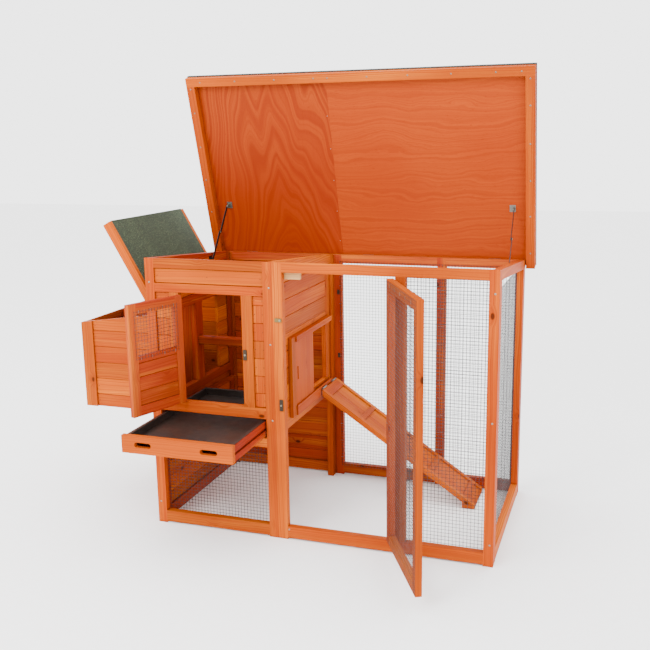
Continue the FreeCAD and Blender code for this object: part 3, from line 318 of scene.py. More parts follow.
# The flame figure's rings follow an arch over the middle, lean on the height, and sway.
FLAME_MIDDLE_X = 290
ARCH_ROUNDING, ARCH_POWER = 0.02, 1.35
ARCH_WIDTH, ARCH_RISE, ARCH_SWAY = 2.6, 0.55, 0.62
# The wave figure's rings follow the height, and sway and ripple by so many metres.
WAVE_SWAY, WAVE_RIPPLE = 0.16, 0.03
PLY_FLECK = opaque(0.15, 0.011, 0.001)
PLY_STREAK = opaque(0.20, 0.018, 0.001)
PLY_CLOUD = opaque(0.23, 0.018, 0.001)
PLY_SHADE = opaque(0.18, 0.010, 0.001)
PLY_SHADE_BOTTOM, PLY_SHADE_TOP = 0.95, 1.6  # metres above the ground


def flame_figure(t, p, x, z):
    """Tall cathedral arches: the two ring patterns, the streaks and the two ring colours."""
    side = t.math("ABSOLUTE", t.math("SUBTRACT", x, P(FLAME_MIDDLE_X, 0, 0).x))
    arch = t.math("POWER", t.math("ADD", side, ARCH_ROUNDING), ARCH_POWER)
    field = t.math("ADD", t.math("MULTIPLY", arch, ARCH_WIDTH), t.math("MULTIPLY", z, ARCH_RISE))
    sway = t.noise(t.scaled(p, (4.5, 1, 1.5)), detail=2.0)
    field = t.math("ADD", field, t.math("MULTIPLY", sway, ARCH_SWAY))
    bands = t.noise_1d(field, 26.0, detail=2.0, rough=0.5)
    fine = t.noise_1d(field, 95.0, detail=1.0, rough=0.5)
    streaks = t.noise(t.scaled(p, (260, 200, 10)), detail=3.0, rough=0.6)
    return bands, fine, streaks, opaque(0.31, 0.044, 0.003), opaque(0.22, 0.024, 0.002)


def wave_figure(t, p, z):
    """Fine, nearly level waves: the two ring patterns, the streaks and the two ring colours."""
    sway = t.noise(t.scaled(p, (2.4, 1, 5.0)), detail=2.0)
    field = t.math("ADD", z, t.math("MULTIPLY", sway, WAVE_SWAY))
    ripple = t.noise(t.scaled(p, (9, 1, 22)), detail=3.0)
    field = t.math("ADD", field, t.math("MULTIPLY", ripple, WAVE_RIPPLE))
    bands = t.noise_1d(field, 70.0, detail=3.0, rough=0.6)
    fine = t.noise_1d(field, 300.0, detail=1.0, rough=0.5)
    streaks = t.noise(t.scaled(p, (10, 200, 300)), detail=3.0, rough=0.6)
    return bands, fine, streaks, opaque(0.34, 0.048, 0.003), opaque(0.28, 0.034, 0.002)


def plywood(name, flame):
    """Rotary-cut veneer on the open lid: z is turned to run up its inner face."""
    t = Tree(name)
    p = t.scaled(t.object_coordinates(), (1, 1, 1), rotation=(LID_OPEN - math.radians(90.0), 0, 0))
    xyz = t.add("ShaderNodeSeparateXYZ", {0: p})
    x, z = xyz.outputs[0], xyz.outputs[2]
    bands, fine, streaks, light, dark = flame_figure(t, p, x, z) if flame else wave_figure(t, p, z)
    color = t.mix(t.ramp(bands, 0.35, 0.68), light, dark)
    color = t.mix(t.ramp(fine, 0.45, 0.7, out_high=0.4), color, dark)
    flecks = t.noise(t.scaled(p, (420, 1, 70) if flame else (70, 1, 420)), detail=2.0)
    color = t.mix(t.ramp(flecks, 0.6, 0.78, out_high=0.55), color, PLY_FLECK)
    color = t.mix(t.ramp(streaks, 0.48, 0.75, out_high=0.25), color, PLY_STREAK)
    cloud = t.noise(t.scaled(p, (3, 1, 3)), detail=2.0)
    color = t.mix(t.ramp(cloud, 0.35, 0.7, out_high=0.25), color, PLY_CLOUD)
    fade = t.ramp(z, PLY_SHADE_BOTTOM, PLY_SHADE_TOP, out_low=0.5 if flame else 0.2, out_high=0.0)
    color = t.mix(fade, color, PLY_SHADE)
    return t.finish(color, t.ramp(streaks, 0.2, 0.8, 0.4, 0.52), streaks,
                    strength=0.15, distance=0.0004, edge=0.001, shine=0.05)


GRANULES_PER_M = 520.0
SPECK_RARITY = 0.86


def felt(name, base, speck, dark):
    """Mineral roofing felt with small granules."""
    t = Tree(name)
    p = t.object_coordinates()
    grains = t.add("ShaderNodeTexVoronoi", {"Vector": p, "Scale": GRANULES_PER_M})
    tone = t.add("ShaderNodeSeparateColor", {0: grains.outputs["Color"]}).outputs[0]
    cloud = t.noise(p, 9.0, detail=4.0)
    color = t.mix(tone, base, dark)
    color = t.mix(t.math("GREATER_THAN", tone, SPECK_RARITY), color, speck)
    color = t.mix(t.ramp(cloud, 0.35, 0.7, out_high=0.35), color, dark)
    relief = t.math("SUBTRACT", 1.0, grains.outputs["Distance"])
    return t.finish(color, 0.92, relief, strength=0.6, distance=0.0008)


def metal(name, base, roughness, metallic=0.9, wear=0.2, dark=opaque(0.05, 0.05, 0.05)):
    """Brushed metal with cloudy wear towards the dark colour."""
    t = Tree(name)
    p = t.object_coordinates()
    cloud = t.noise(p, 60.0, detail=4.0, rough=0.6)
    brushed = t.noise(t.scaled(p, (40, 900, 900)), detail=2.0)
    color = t.mix(t.ramp(cloud, 0.4, 0.75, out_high=wear), base, dark)
    rough = t.ramp(cloud, 0.3, 0.7, roughness, min(1.0, roughness + 0.2))
    return t.finish(color, rough, brushed,
                    strength=0.08, distance=0.0003, edge=0.0004, metallic=metallic)


PAN_RIM_LOW, PAN_RIM_HIGH = 0.4432, 0.4445  # metres above the ground


def pan_finish():
    """Dark coated sheet with faint cloudy marks and a painted highlight that pales the top of its
    rim.
    """
    t = Tree("pan_coating")
    p = t.object_coordinates()
    z = t.add("ShaderNodeSeparateXYZ", {0: p}).outputs[2]
    cloud = t.noise(p, 7.0, detail=5.0, rough=0.6)
    fine = t.noise(p, 160.0, detail=3.0)
    color = t.mix(t.ramp(cloud, 0.35, 0.7), rgb(64, 52, 45), rgb(44, 35, 30))
    color = t.mix(t.ramp(fine, 0.55, 0.8, out_high=0.25), color, rgb(88, 74, 64))
    # Painted highlight: the top of the rim is lightened towards a pale grey.
    rim_highlight = t.math("MULTIPLY", t.ramp(z, PAN_RIM_LOW, PAN_RIM_HIGH), 0.7)
    color = t.mix(rim_highlight, color, rgb(132, 124, 114))
    return t.finish(color, t.ramp(cloud, 0.3, 0.7, 0.38, 0.6), fine,
                    strength=0.08, distance=0.0004, edge=0.0008, metallic=0.25)


ROOF_FELT = felt("roof_felt", rgb(58, 56, 50), rgb(120, 116, 104), rgb(36, 34, 30))
NEST_FELT = felt("nest_felt", rgb(60, 78, 42), rgb(112, 126, 88), rgb(32, 44, 22))
ZINC = metal("zinc_plate", rgb(176, 172, 160), 0.32)
DARK_STEEL = metal("dark_steel", rgb(62, 60, 60), 0.38)
BRASSY = metal("brassy_plate", rgb(168, 138, 82), 0.35)
BRONZE = metal("aged_button", rgb(92, 78, 62), 0.4)
BRIGHT = metal("bright_screw", rgb(188, 176, 154), 0.3)
WIRE = metal("galvanised_wire", rgb(84, 84, 84), 0.5, metallic=0.6, wear=0.35, dark=rgb(44, 44, 44))
PAN = pan_finish()
# Painted shade: near-black for the cross recesses, which are flat quads on the screw heads.
RECESS_SHADE = metal("screw_recess_shade", rgb(26, 24, 22), 0.6, metallic=0.4)


# ------------------------------------------------------------ materials on the CAD nodes

CORNERS_PER_M = 20000  # corners closer than one part of this are one corner
SAME_NORMAL = 0.999
LONG_FACE = 0.09  # metres: shorter faces take their solid's grain
TINT_STEP = 7  # spreads neighbouring solids over the tints


def join(parent, a, b):
    """Puts a and b in one group, and returns the group's root."""
    roots = []
    for item in (a, b):
        while parent[item] != item:
            parent[item] = parent[parent[item]]
            item = parent[item]
        roots.append(item)
    parent[roots[0]] = roots[1]
    return roots[1]


def corner_keys(mesh):
    return [tuple(round(c * CORNERS_PER_M) for c in v.co) for v in mesh.vertices]


def islands(mesh):
    """Groups of polygon indices that belong to one solid, found through shared corner positions."""
    keys = corner_keys(mesh)
    parent = {k: k for k in keys}
    for poly in mesh.polygons:
        for i in poly.vertices:
            join(parent, keys[i], keys[poly.vertices[0]])
    groups = {}
    for poly in mesh.polygons:
        key = keys[poly.vertices[0]]
        groups.setdefault(join(parent, key, key), []).append(poly.index)
    return list(groups.values())


def flat_faces(mesh, polys):
    """Groups of polygons that share an edge and a normal."""
    keys = corner_keys(mesh)
    parent = {k: k for k in polys}
    edges = {}
    for k in polys:
        corners = [keys[i] for i in mesh.polygons[k].vertices]
        for edge in zip(corners, corners[1:] + corners[:1]):
            beside = edges.setdefault(frozenset(edge), [])
            for other in beside:
                if mesh.polygons[k].normal.dot(mesh.polygons[other].normal) > SAME_NORMAL:
                    join(parent, k, other)
            beside.append(k)
    groups = {}
    for k in polys:
        groups.setdefault(join(parent, k, k), []).append(k)
    return list(groups.values())


def box_of(points):
    """Lowest and highest x, y and z."""
    return [[pick(p[a] for p in points) for a in range(3)] for pick in (min, max)]


def longest_axis(mesh, polys, rotation):
    """Longest side and its axis, in the frame that the body has when turned back by rotation."""
    turn = Euler(rotation).to_matrix()
    low, high = box_of([turn @ mesh.vertices[i].co
                        for k in polys for i in mesh.polygons[k].vertices])
    spans = [high[a] - low[a] for a in range(3)]
    return max(spans), "xyz"[spans.index(max(spans))]


def set_wood(stain, names, rotation=NO_TURN, axis=None):
    """Wood on nodes: grain along each solid's long faces, and a tint of its own for each solid."""
    for name in names:
        mesh = NODES[name].data
        mesh.materials.clear()
        used = []
        for number, solid in enumerate(islands(mesh)):
            main = longest_axis(mesh, solid, rotation)[1]
            for polys in flat_faces(mesh, solid):
                length, along = longest_axis(mesh, polys, rotation)
                direction = axis or (along if length > LONG_FACE else main)
                tint = (number * TINT_STEP + len(name) + "xyz".index(direction)) % len(TINTS)
                material = wood(stain, direction, tint, rotation)
                if material not in used:
                    used.append(material)
                    mesh.materials.append(material)
                for k in polys:
                    mesh.polygons[k].material_index = used.index(material)


def set_plain(material, names):
    """One material all over each node."""
    for name in names:
        mesh = NODES[name].data
        mesh.materials.clear()
        mesh.materials.append(material)
        for poly in mesh.polygons:
            poly.material_index = 0


LID_TURN = (LID_OPEN, 0, 0)
NEST_TURN = (0, -NEST_OPEN, 0)
HOUSE_DOOR_TURN = (0, 0, -HOUSE_DOOR_OPEN)
RUN_DOOR_TURN = (0, 0, -RUN_DOOR_OPEN)
RAMP_TURN = (0, -RAMP_SLOPE, 0)

# The shade and inside stains paint shade onto the rear, the inside and the house door.
for stain, names, *turn_and_axis in (
        ("frame", ("house_front_stiles", "house_front_rails", "run_front_stiles", "run_front_rails",
                   "run_side_frame", "tray_front")),
        ("siding", ("house_front_boards", "nest_box_boards", "left_wall_boards", "divider_boards",
                    "nest_box_stiles")),
        ("shade", ("run_rear_frame", "rear_wall_frame", "rear_wall_boards")),
        ("inside", ("left_wall_frame", "perch_bar", "tray_runners", "tray_drawer_box",
                    "nest_box_floor")),
        ("frame", ("divider_frame", "pop_door_tracks")),
        ("siding", ("pop_door_panel",), NO_TURN, "z"),
        ("frame", ("roof_lid_rails",), LID_TURN),
        ("frame", ("nest_lid_rails",), NEST_TURN),
        ("inside", ("nest_lid_panel",), NEST_TURN, "y"),
        ("shade", ("house_door_frame",), HOUSE_DOOR_TURN),
        ("shade", ("house_door_boards",), HOUSE_DOOR_TURN, "x"),
        ("frame", ("run_door_stiles",), RUN_DOOR_TURN, "z"),
        ("frame", ("run_door_rails",), RUN_DOOR_TURN, "x"),
        ("frame", ("ramp_rails",), RAMP_TURN),
        ("frame", ("ramp_boards",), RAMP_TURN, "x"),
        ("frame", ("ramp_cleats",), RAMP_TURN, "y"),
        ("pale", ("run_door_stop",))):
    set_wood(stain, names, *turn_and_axis)

for material, names in (
        (plywood("ply_flame", True), ("roof_panel_left",)),
        (plywood("ply_wave", False), ("roof_panel_right",)),
        (ROOF_FELT, ("roof_felt",)),
        (NEST_FELT, ("nest_lid_felt",)),
        (PAN, ("tray_pan",)),
        (ZINC, ("fixed_hinge_leaves", "roof_hinge_leaves", "nest_lid_hinge_leaves",
                "house_door_hinge_leaves", "run_door_hinge_leaves", "ramp_hinge_leaves",
                "stay_lid_brackets")),
        (DARK_STEEL, ("stay_wall_brackets", "stay_left_lower_arm", "stay_left_upper_arm",
                      "stay_right_lower_arm", "stay_right_upper_arm")),
        (BRIGHT, ("front_screws",)),
        (BRASSY, ("run_door_upper_button_plate",)),
        (BRONZE, ("run_door_lower_button_plate", "house_door_button_plate"))):
    set_plain(material, names)


# ------------------------------------------------------------ wire

def make_mesh(name, verts, faces, material, smooth=False):
    """A new object in the scene, with one material."""
    mesh = bpy.data.meshes.new(name)
    mesh.from_pydata([tuple(v) for v in verts], [], faces)
    mesh.materials.append(material)
    for poly in mesh.polygons:
        poly.use_smooth = smooth
    obj = bpy.data.objects.new(name, mesh)
    bpy.context.scene.collection.objects.link(obj)
    return obj


ROD_SIDES = 6


def rod(verts, faces, a, b, radius, side_a, side_b):
    """Adds a straight wire from a to b; side_a and side_b span its cross section."""
    start = len(verts)
    for end in (a, b):
        for k in range(ROD_SIDES):
            angle = 2 * math.pi * k / ROD_SIDES
            verts.append(end + side_a * (radius * math.cos(angle))
                         + side_b * (radius * math.sin(angle)))
    for k in range(ROD_SIDES):
        m = (k + 1) % ROD_SIDES
        faces.append((start + k, start + m, start + ROD_SIDES + m, start + ROD_SIDES + k))
    faces.append(tuple(start + k for k in range(ROD_SIDES - 1, -1, -1)))
    faces.append(tuple(start + ROD_SIDES + k for k in range(ROD_SIDES)))


# Metres.
PITCH = 0.0127
WIRE_R = 0.0006
FRONT_WIRE_R = 0.00075
WANDER = 0.0004
LAYER_GAP = 1.5  # distance between the two layers of wire, in wire radii


def wire_panel(name, nodes, body, sheets, radius=WIRE_R):
    """Welded wire: level wires on one side, upright wires on the other, slightly uneven."""
    verts, faces = [], []
    for origin, right, up in sheets:
        width, height = right.length, up.length
        u, v = right.normalized(), up.normalized()
        n = u.cross(v)
        columns, rows = int(width / PITCH), int(height / PITCH)
        first_u = (width - columns * PITCH) / 2
        first_v = (height - rows * PITCH) / 2
        for i in range(columns + 1):
            a = origin + u * (first_u + i * PITCH + rng.uniform(-WANDER, WANDER))
            rod(verts, faces, a, a + v * height, radius, u, n)
        level = origin + n * (radius * LAYER_GAP)
        for i in range(rows + 1):
            a = level + v * (first_v + i * PITCH + rng.uniform(-WANDER, WANDER))
            rod(verts, faces, a, a + u * width, radius, v, n)
    obj = make_mesh(name, verts, faces, WIRE, True)
    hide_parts(*nodes)
    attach(obj, body)
    return obj


def sheet(point, x, y, z):
    """Origin and two edges of an upright sheet: z and one of x and y are pairs."""
    near, far = ((x[0], y), (x[1], y)) if isinstance(x, tuple) else ((x, y[0]), (x, y[1]))
    origin = point(*near, z[0])
    return origin, point(*far, z[0]) - origin, point(*near, z[1]) - origin


FRONT_WIRE_Y, SIDE_WIRE_X, REAR_WIRE_Y = 25.8, 1251.4, 664.2
HOUSE_DOOR_WIRE_Y, RUN_DOOR_WIRE_Y = 18.6, 22.6
REAR_WIRE_Z = (40, 933)

wire_panel("wire_house_front", ["house_front_mesh"], "coop_frame",
           [sheet(P, (27, 469), FRONT_WIRE_Y, (40, 354))], FRONT_WIRE_R)
wire_panel("wire_run_front", ["run_front_mesh"], "coop_frame",
           [sheet(P, (961, 1252), FRONT_WIRE_Y, (40, 994))], FRONT_WIRE_R)
wire_panel("wire_run_side", ["run_side_mesh"], "coop_frame",
           [sheet(P, SIDE_WIRE_X, (42, 648), (40, 928))])
wire_panel("wire_run_rear", ["run_rear_mesh"], "coop_frame",
           [sheet(P, x, REAR_WIRE_Y, REAR_WIRE_Z) for x in ((523, 731), (735, 1252))])
wire_panel("wire_house_door", ["house_door_mesh"], "house_door",
           [sheet(house_door_point, (153.5, 353), HOUSE_DOOR_WIRE_Y, (695, 868))])
wire_panel("wire_run_door", ["run_door_mesh"], "run_door",
           [sheet(run_door_point, (541, 929), RUN_DOOR_WIRE_Y, (55, 978))])


# ------------------------------------------------------------ screws and nails

# Radius and height of the heads, in metres.
FRAME_SCREW = (0.0034, 0.0011)
SEAM_NAIL = (0.002, 0.0004)
HINGE_SCREW = (0.0024, 0.0005)
BOARD_NAIL = (0.0017, 0.0003)
STAY_RIVET = (0.0042, 0.0012)
# Rings of a domed head, as shares of its radius and its height.
DOME = ((1.0, 0.0), (0.9, 0.6), (0.6, 0.95))
DOME_SIDES = 14
RECESS_HEIGHT, RECESS_LENGTH, RECESS_WIDTH = 0.97, 0.5, 0.1


def screw(verts, faces, marks, centre, normal, radius, height):
    """Adds a domed head with a cross recess painted as flat dark shade, turned at random; marks
    collects the recess faces.
    """
    n = normal.normalized()
    u = n.orthogonal().normalized()
    v = n.cross(u)
    turn = rng.uniform(0, math.pi)
    u, v = u * math.cos(turn) + v * math.sin(turn), v * math.cos(turn) - u * math.sin(turn)
    start = len(verts)
    for r, h in DOME:
        for k in range(DOME_SIDES):
            a = 2 * math.pi * k / DOME_SIDES
            verts.append(centre + u * (radius * r * math.cos(a)) + v * (radius * r * math.sin(a))
                         + n * (height * h))
    for ring in range(len(DOME) - 1):
        for k in range(DOME_SIDES):
            m = (k + 1) % DOME_SIDES
            i = start + ring * DOME_SIDES
            faces.append((i + k, i + m, i + DOME_SIDES + m, i + DOME_SIDES + k))
    last = start + (len(DOME) - 1) * DOME_SIDES
    faces.append(tuple(last + k for k in range(DOME_SIDES)))
    # The cross recess is two flat quads on the dome's top, dark with painted shade.
    top = centre + n * (height * RECESS_HEIGHT)
    for a, b in ((u, v), (v, u)):
        base = len(verts)
        for p, q in ((-1, -1), (1, -1), (1, 1), (-1, 1)):
            verts.append(top + a * (radius * RECESS_LENGTH * p) + b * (radius * RECESS_WIDTH * q))
        marks.append(len(faces))
        faces.append((base, base + 1, base + 2, base + 3))


def screws(name, body, spots, head, material=BRIGHT):
    """One piece of heads on a body: spots are (place, outward normal)."""
    verts, faces, marks = [], [], []
    for centre, normal in spots:
        screw(verts, faces, marks, centre, normal, *head)
    obj = make_mesh(name, verts, faces, material)
    obj.data.materials.append(RECESS_SHADE)
    for k in marks:
        obj.data.polygons[k].material_index = 1
    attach(obj, body)
    return obj


# Screws in the lid's rails and nails along the seam between its panels.
LID_RAIL_FACE = -30  # the rails' lower face, from the panels' inner face
LID_FRONT_RAIL_X = (18, 168, 333, 493, 548, 703, 858, 1018, 1178, 1268)
LID_FRONT_RAIL_REACH = 731
LID_SIDE_RAILS_X = (-27, 1298)
LID_SIDE_RAILS_REACH = (40, 190, 330, 470, 610, 705)
LID_SEAM_X, LID_SEAM_REACH = 523, range(60, 720, 130)


def lid_screws():
    inward = turned(lid_point, 0, 0, -1)
    places = [(x, LID_FRONT_RAIL_REACH) for x in LID_FRONT_RAIL_X]
    places += product(LID_SIDE_RAILS_X, LID_SIDE_RAILS_REACH)
    screws("lid_rail_screws", "roof_lid",
           [(lid_point(x, reach, LID_RAIL_FACE), inward) for x, reach in places], FRAME_SCREW)
    screws("lid_seam_nails", "roof_lid",
           [(lid_point(LID_SEAM_X, reach, 0), inward) for reach in LID_SEAM_REACH], SEAM_NAIL)


# Three screws per hinge leaf, in one row beside the pin.
LEAF_SCREWS = (-17, 0, 17)
LEAF_REACH = 12
LEAF_FACE = 1.5  # how far a roof, nest or ramp leaf's face stands off
DOOR_LEAF_FACE = 1.7
HOUSE_DOOR_HINGES_Z = (560, 830)
RUN_DOOR_HINGES_Z = (180, 516, 860)
ROOF_HINGES_X = (120, 640, 1157)
NEST_HINGES_Y = (160, 550)
RAMP_HINGES_Y = (488, 608)
ROOF_LEAF_Y, ROOF_LEAF_Z = 691.5, 956.5 - LEAF_REACH
RAMP_LEAF_X = 509.5


def hinge_screws():
    """Countersunk heads on the hinge leaves."""
    fixed, roof, house, run = [], [], [], []
    for z in (z + step for z, step in product(HOUSE_DOOR_HINGES_Z, LEAF_SCREWS)):
        fixed.append((P(HOUSE_DOOR_PIN.x - LEAF_REACH, -DOOR_LEAF_FACE, z), FRONT))
        house.append((house_door_point(HOUSE_DOOR_PIN.x + LEAF_REACH, -DOOR_LEAF_FACE, z),
                      turned(house_door_point, 0, -1, 0)))
    for z in (z + step for z, step in product(RUN_DOOR_HINGES_Z, LEAF_SCREWS)):
        run.append((run_door_point(RUN_DOOR_PIN.x - LEAF_REACH, -DOOR_LEAF_FACE, z),
                    turned(run_door_point, 0, -1, 0)))
    for x in (x + step for x, step in product(ROOF_HINGES_X, LEAF_SCREWS)):
        fixed.append((P(x, ROOF_LEAF_Y, ROOF_LEAF_Z), REAR))
        roof.append((lid_point(x, -LEAF_REACH, -LEAF_FACE), turned(lid_point, 0, 0, -1)))
    for y in (y + step for y, step in product(NEST_HINGES_Y, LEAF_SCREWS)):
        fixed.append((P(-LEAF_FACE, y, NEST_PIN_Z - LEAF_REACH), LEFT))
    for y in (y + step for y, step in product(RAMP_HINGES_Y, LEAF_SCREWS)):
        fixed.append((P(RAMP_LEAF_X, y, RAMP_PIN_Z - LEAF_REACH), RIGHT))
    screws("hinge_screws_fixed", "coop_frame", fixed, HINGE_SCREW)
    screws("hinge_screws_roof", "roof_lid", roof, HINGE_SCREW)
    screws("hinge_screws_house_door", "house_door", house, HINGE_SCREW)
    screws("hinge_screws_run_door", "run_door", run, HINGE_SCREW)


# Small nail heads where the boards meet the frames: outward normal, x, y and z.
BOARD_NAILS = (
    (FRONT, (42, 88, 424, 454), (6,), (518, 576, 640, 705, 768, 832, 881)),
    (FRONT, (46, 245, 450), (6,), (957,)),
    (FRONT, (-288, -12), (92,), (435, 493, 559, 625, 691, 735)),
    (RIGHT, (488,), (68,), (480, 512, 576, 640, 675, 740, 804, 868, 915)),
    (RIGHT, (488,), (566,), (740, 804, 868, 912)),
    (REAR, (44, 452), (684,), range(70, 920, 64)),
    (LEFT, (-340,), (118, 612), (435, 493, 559, 625, 691)),
)


def nails():
    spots = [(P(x, y, z), normal)
             for normal, xs, ys, zs in BOARD_NAILS for z, x, y in product(zs, xs, ys)]
    screws("board_nails", "coop_frame", spots, BOARD_NAIL, DARK_STEEL)


# The elbows of the two stays, which mirror each other about the middle of MIRROR_WIDTH.
ELBOW_Y, ELBOW_Z = 553.0, 1054.2
# Arm, x of its outer face on the left stay, and that face's normal.
ELBOW_FACES = (("lower", 36.0, LEFT), ("upper", 42.2, RIGHT))
MIRROR_WIDTH = 1277


def stay_rivets():
    """Bright rivet heads on both faces of each stay's elbow."""
    for side, mirror in (("left", False), ("right", True)):
        for arm, x, normal in ELBOW_FACES:
            place = P(MIRROR_WIDTH - x if mirror else x, ELBOW_Y, ELBOW_Z)
            screws("rivet_%s_%s" % (side, arm), "stay_%s_%s" % (side, arm),
                   [(place, -normal if mirror else normal)], STAY_RIVET)


# ------------------------------------------------------------ board tongues

# Metres.
JOINT_GAP = 0.001  # boards with less than this between them are neighbours
THINNEST_BOARD = 0.004
TONGUE_HALF = 0.0008
TONGUE_DEPTH = 0.002
TONGUE_END = 0.0003
BOX_FACES = ((0, 2, 3, 1), (4, 5, 7, 6), (0, 1, 5, 4), (2, 6, 7, 3), (0, 4, 6, 2), (1, 3, 7, 5))


def add_box(verts, faces, low, high):
    """Adds a level box from its lowest and highest corners."""
    start = len(verts)
    verts += [Vector((x, y, z)) for z, y, x in product(*((low[a], high[a]) for a in (2, 1, 0)))]
    faces += [tuple(start + k for k in face) for face in BOX_FACES]


def tongues():
    """Loose tongues inside the joints between wall boards, so that no light passes through them."""
    verts, faces = [], []
    for name in ("rear_wall_boards", "left_wall_boards", "divider_boards", "nest_box_boards",
                 "house_front_boards"):
        node = NODES[name]
        boards = [box_of([node.matrix_world @ node.data.vertices[i].co
                          for k in polys for i in node.data.polygons[k].vertices])
                  for polys in islands(node.data)]
        for (low_a, high_a), (low_b, high_b) in product(boards, boards):
            if not 0.0 < low_b[2] - high_a[2] < JOINT_GAP:
                continue
            low = [max(low_a[a], low_b[a]) for a in range(2)]
            high = [min(high_a[a], high_b[a]) for a in range(2)]
            if min(high[a] - low[a] for a in range(2)) < THINNEST_BOARD:
                continue
            thin = 0 if high[0] - low[0] < high[1] - low[1] else 1
            middle = (low[thin] + high[thin]) / 2
            low[thin], high[thin] = middle - TONGUE_HALF, middle + TONGUE_HALF
            low[1 - thin] += TONGUE_END
            high[1 - thin] -= TONGUE_END
            add_box(verts, faces,
                    low + [high_a[2] - TONGUE_DEPTH], high + [low_b[2] + TONGUE_DEPTH])
    obj = make_mesh("board_tongues", verts, faces, wood("inside", "x"))
    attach(obj, "coop_frame")


# ------------------------------------------------------------ staples and post brackets

# Metres: half the staple's width, how far its crown stands off, and where its legs begin and end.
STAPLE_HALF = 0.005
STAPLE_CROWN = 0.0012
STAPLE_LEG = (-0.0006, 0.0014)
STAPLE_R = 0.0005

# Where staples hold the edges of the wire: x, y, z, direction along the staple, outward normal.
FRAME_STAPLES = (
    ((964, 1248), (FRONT_WIRE_Y,), range(80, 980, 75), RIGHT, REAR),
    ((526, 944, 958, 1248), (664.0,), range(80, 920, 75), RIGHT, FRONT),
    (range(60, 460, 70), (FRONT_WIRE_Y,), (44, 350), UP, REAR),
    ((1251.2,), range(80, 640, 75), (44,), UP, LEFT),
)
RUN_DOOR_STAPLES = (
    ((556, 914), (RUN_DOOR_WIRE_Y,), range(90, 960, 80), RIGHT, REAR),
    (range(600, 900, 70), (RUN_DOOR_WIRE_Y,), (70, 963), UP, REAR),
)
HOUSE_DOOR_STAPLES = (
    ((175, 225, 280, 330), (HOUSE_DOOR_WIRE_Y,), (699, 864), UP, REAR),
)


def staples(name, body, point, rows):
    """One piece of wire staples, each a crown and two legs."""
    verts, faces = [], []
    for xs, ys, zs, along, normal in rows:
        a, n = (turned(point, *direction).normalized() for direction in (along, normal))
        for x, y, z in product(xs, ys, zs):
            centre = point(x, y, z)
            crown, half = centre + n * STAPLE_CROWN, a * STAPLE_HALF
            rod(verts, faces, crown - half, crown + half, STAPLE_R, n, a.cross(n))
            for end in (-STAPLE_HALF, STAPLE_HALF):
                foot, top = (centre + a * end + n * leg for leg in STAPLE_LEG)
                rod(verts, faces, foot, top, STAPLE_R, a, a.cross(n))
    obj = make_mesh(name, verts, faces, ZINC)
    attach(obj, body)


BRACKETS_Z = (803, 532)
BRACKET_X, BRACKET_Y = (512, 522), (663.4, 664.9)
BRACKET_HALF_HEIGHT = 10


def post_brackets():
    """Small dark plates on the run's rear post beside the house."""
    for k, z in enumerate(BRACKETS_Z):
        verts, faces = [], []
        add_box(verts, faces, P(BRACKET_X[0], BRACKET_Y[0], z - BRACKET_HALF_HEIGHT),
                P(BRACKET_X[1], BRACKET_Y[1], z + BRACKET_HALF_HEIGHT))
        obj = make_mesh("rear_post_bracket_%d" % k, verts, faces, BRONZE)
        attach(obj, "coop_frame")


# The screws and nails draw random numbers, so the order of these calls matters.
lid_screws()
hinge_screws()
nails()
stay_rivets()
tongues()
staples("frame_staples", "coop_frame", P, FRAME_STAPLES)
staples("run_door_staples", "run_door", run_door_point, RUN_DOOR_STAPLES)
staples("house_door_staples", "house_door", house_door_point, HOUSE_DOOR_STAPLES)
post_brackets()


# ------------------------------------------------------------ floor, light and camera

FLOOR_HALF = 14.0
PAPER_DARK, PAPER_LIGHT = opaque(0.86, 0.86, 0.86), opaque(0.90, 0.90, 0.90)
SKY_STRENGTH = 3.6
# Name, place and aim in metres, power in watts and width in metres.
LAMPS = (
    ("key", (-1.6, -4.2, 3.6), (0.0, 0.0, 0.7), 260.0, 2.0),
    ("fill", (3.4, -3.0, 2.2), (0.1, 0.0, 0.7), 40.0, 2.6),
    ("top", (0.0, -0.4, 4.6), (0.0, 0.0, 0.5), 80.0, 3.0),
)


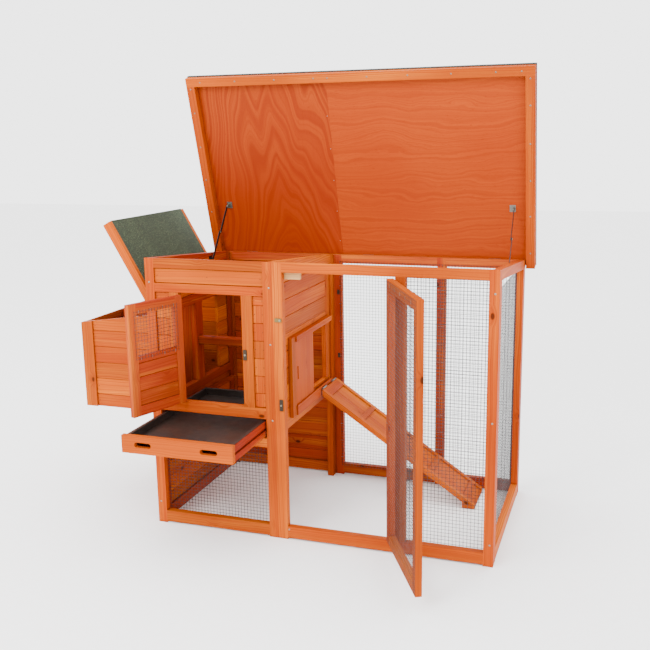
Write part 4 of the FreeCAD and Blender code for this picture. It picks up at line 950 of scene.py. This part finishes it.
def studio():
    """Pale floor and backdrop with three soft lamps."""
    t = Tree("floor_paper")
    fine = t.noise(t.object_coordinates(), 30.0, detail=3.0)
    material = t.finish(t.mix(fine, PAPER_DARK, PAPER_LIGHT), 0.9)
    corners = [Vector((x * FLOOR_HALF, y * FLOOR_HALF, 0))
               for x, y in ((-1, -1), (1, -1), (1, 1), (-1, 1))]
    floor = make_mesh("floor", corners, [(0, 1, 2, 3)], material)
    world = bpy.data.worlds.new("studio")
    world.use_nodes = True
    background = world.node_tree.nodes["Background"]
    background.inputs["Color"].default_value = opaque(1.0, 1.0, 1.0)
    background.inputs["Strength"].default_value = SKY_STRENGTH
    bpy.context.scene.world = world
    for name, place, aim, power, width in LAMPS:
        data = bpy.data.lights.new(name, "AREA")
        data.energy = power
        data.size = width
        lamp = bpy.data.objects.new(name, data)
        lamp.location = place
        lamp.rotation_euler = (Vector(aim) - Vector(place)).to_track_quat("-Z", "Y").to_euler()
        bpy.context.scene.collection.objects.link(lamp)


# The photo's camera: its place in millimetres like everything else, its turn in radians.
CAMERA_PLACE = (1665.4, -2796.7, 1447.2)
CAMERA_YAW, CAMERA_PITCH, CAMERA_ROLL = 0.3293, 0.2107, -0.0146
LENS_MM, SENSOR_MM = 49.17, 36.0
LENS_SHIFT = (-0.0092, -0.0017)
CLIP_START = 0.05


def photo_camera():
    yaw_cos, yaw_sin = math.cos(CAMERA_YAW), math.sin(CAMERA_YAW)
    pitch_cos, pitch_sin = math.cos(CAMERA_PITCH), math.sin(CAMERA_PITCH)
    roll_cos, roll_sin = math.cos(CAMERA_ROLL), math.sin(CAMERA_ROLL)
    forward = Vector((-yaw_sin * pitch_cos, yaw_cos * pitch_cos, -pitch_sin))
    level = Vector((yaw_cos, yaw_sin, 0.0))
    up = level.cross(forward)
    right = level * roll_cos + up * roll_sin
    top = up * roll_cos - level * roll_sin
    data = bpy.data.cameras.new("photo_view")
    data.sensor_width = SENSOR_MM
    data.lens = LENS_MM
    data.shift_x, data.shift_y = LENS_SHIFT
    data.clip_start = CLIP_START
    camera = bpy.data.objects.new("photo_view", data)
    turn = Matrix((right, top, -forward)).transposed().to_4x4()
    camera.matrix_world = Matrix.Translation(P(*CAMERA_PLACE)) @ turn
    bpy.context.scene.collection.objects.link(camera)
    bpy.context.scene.camera = camera


studio()
photo_camera()
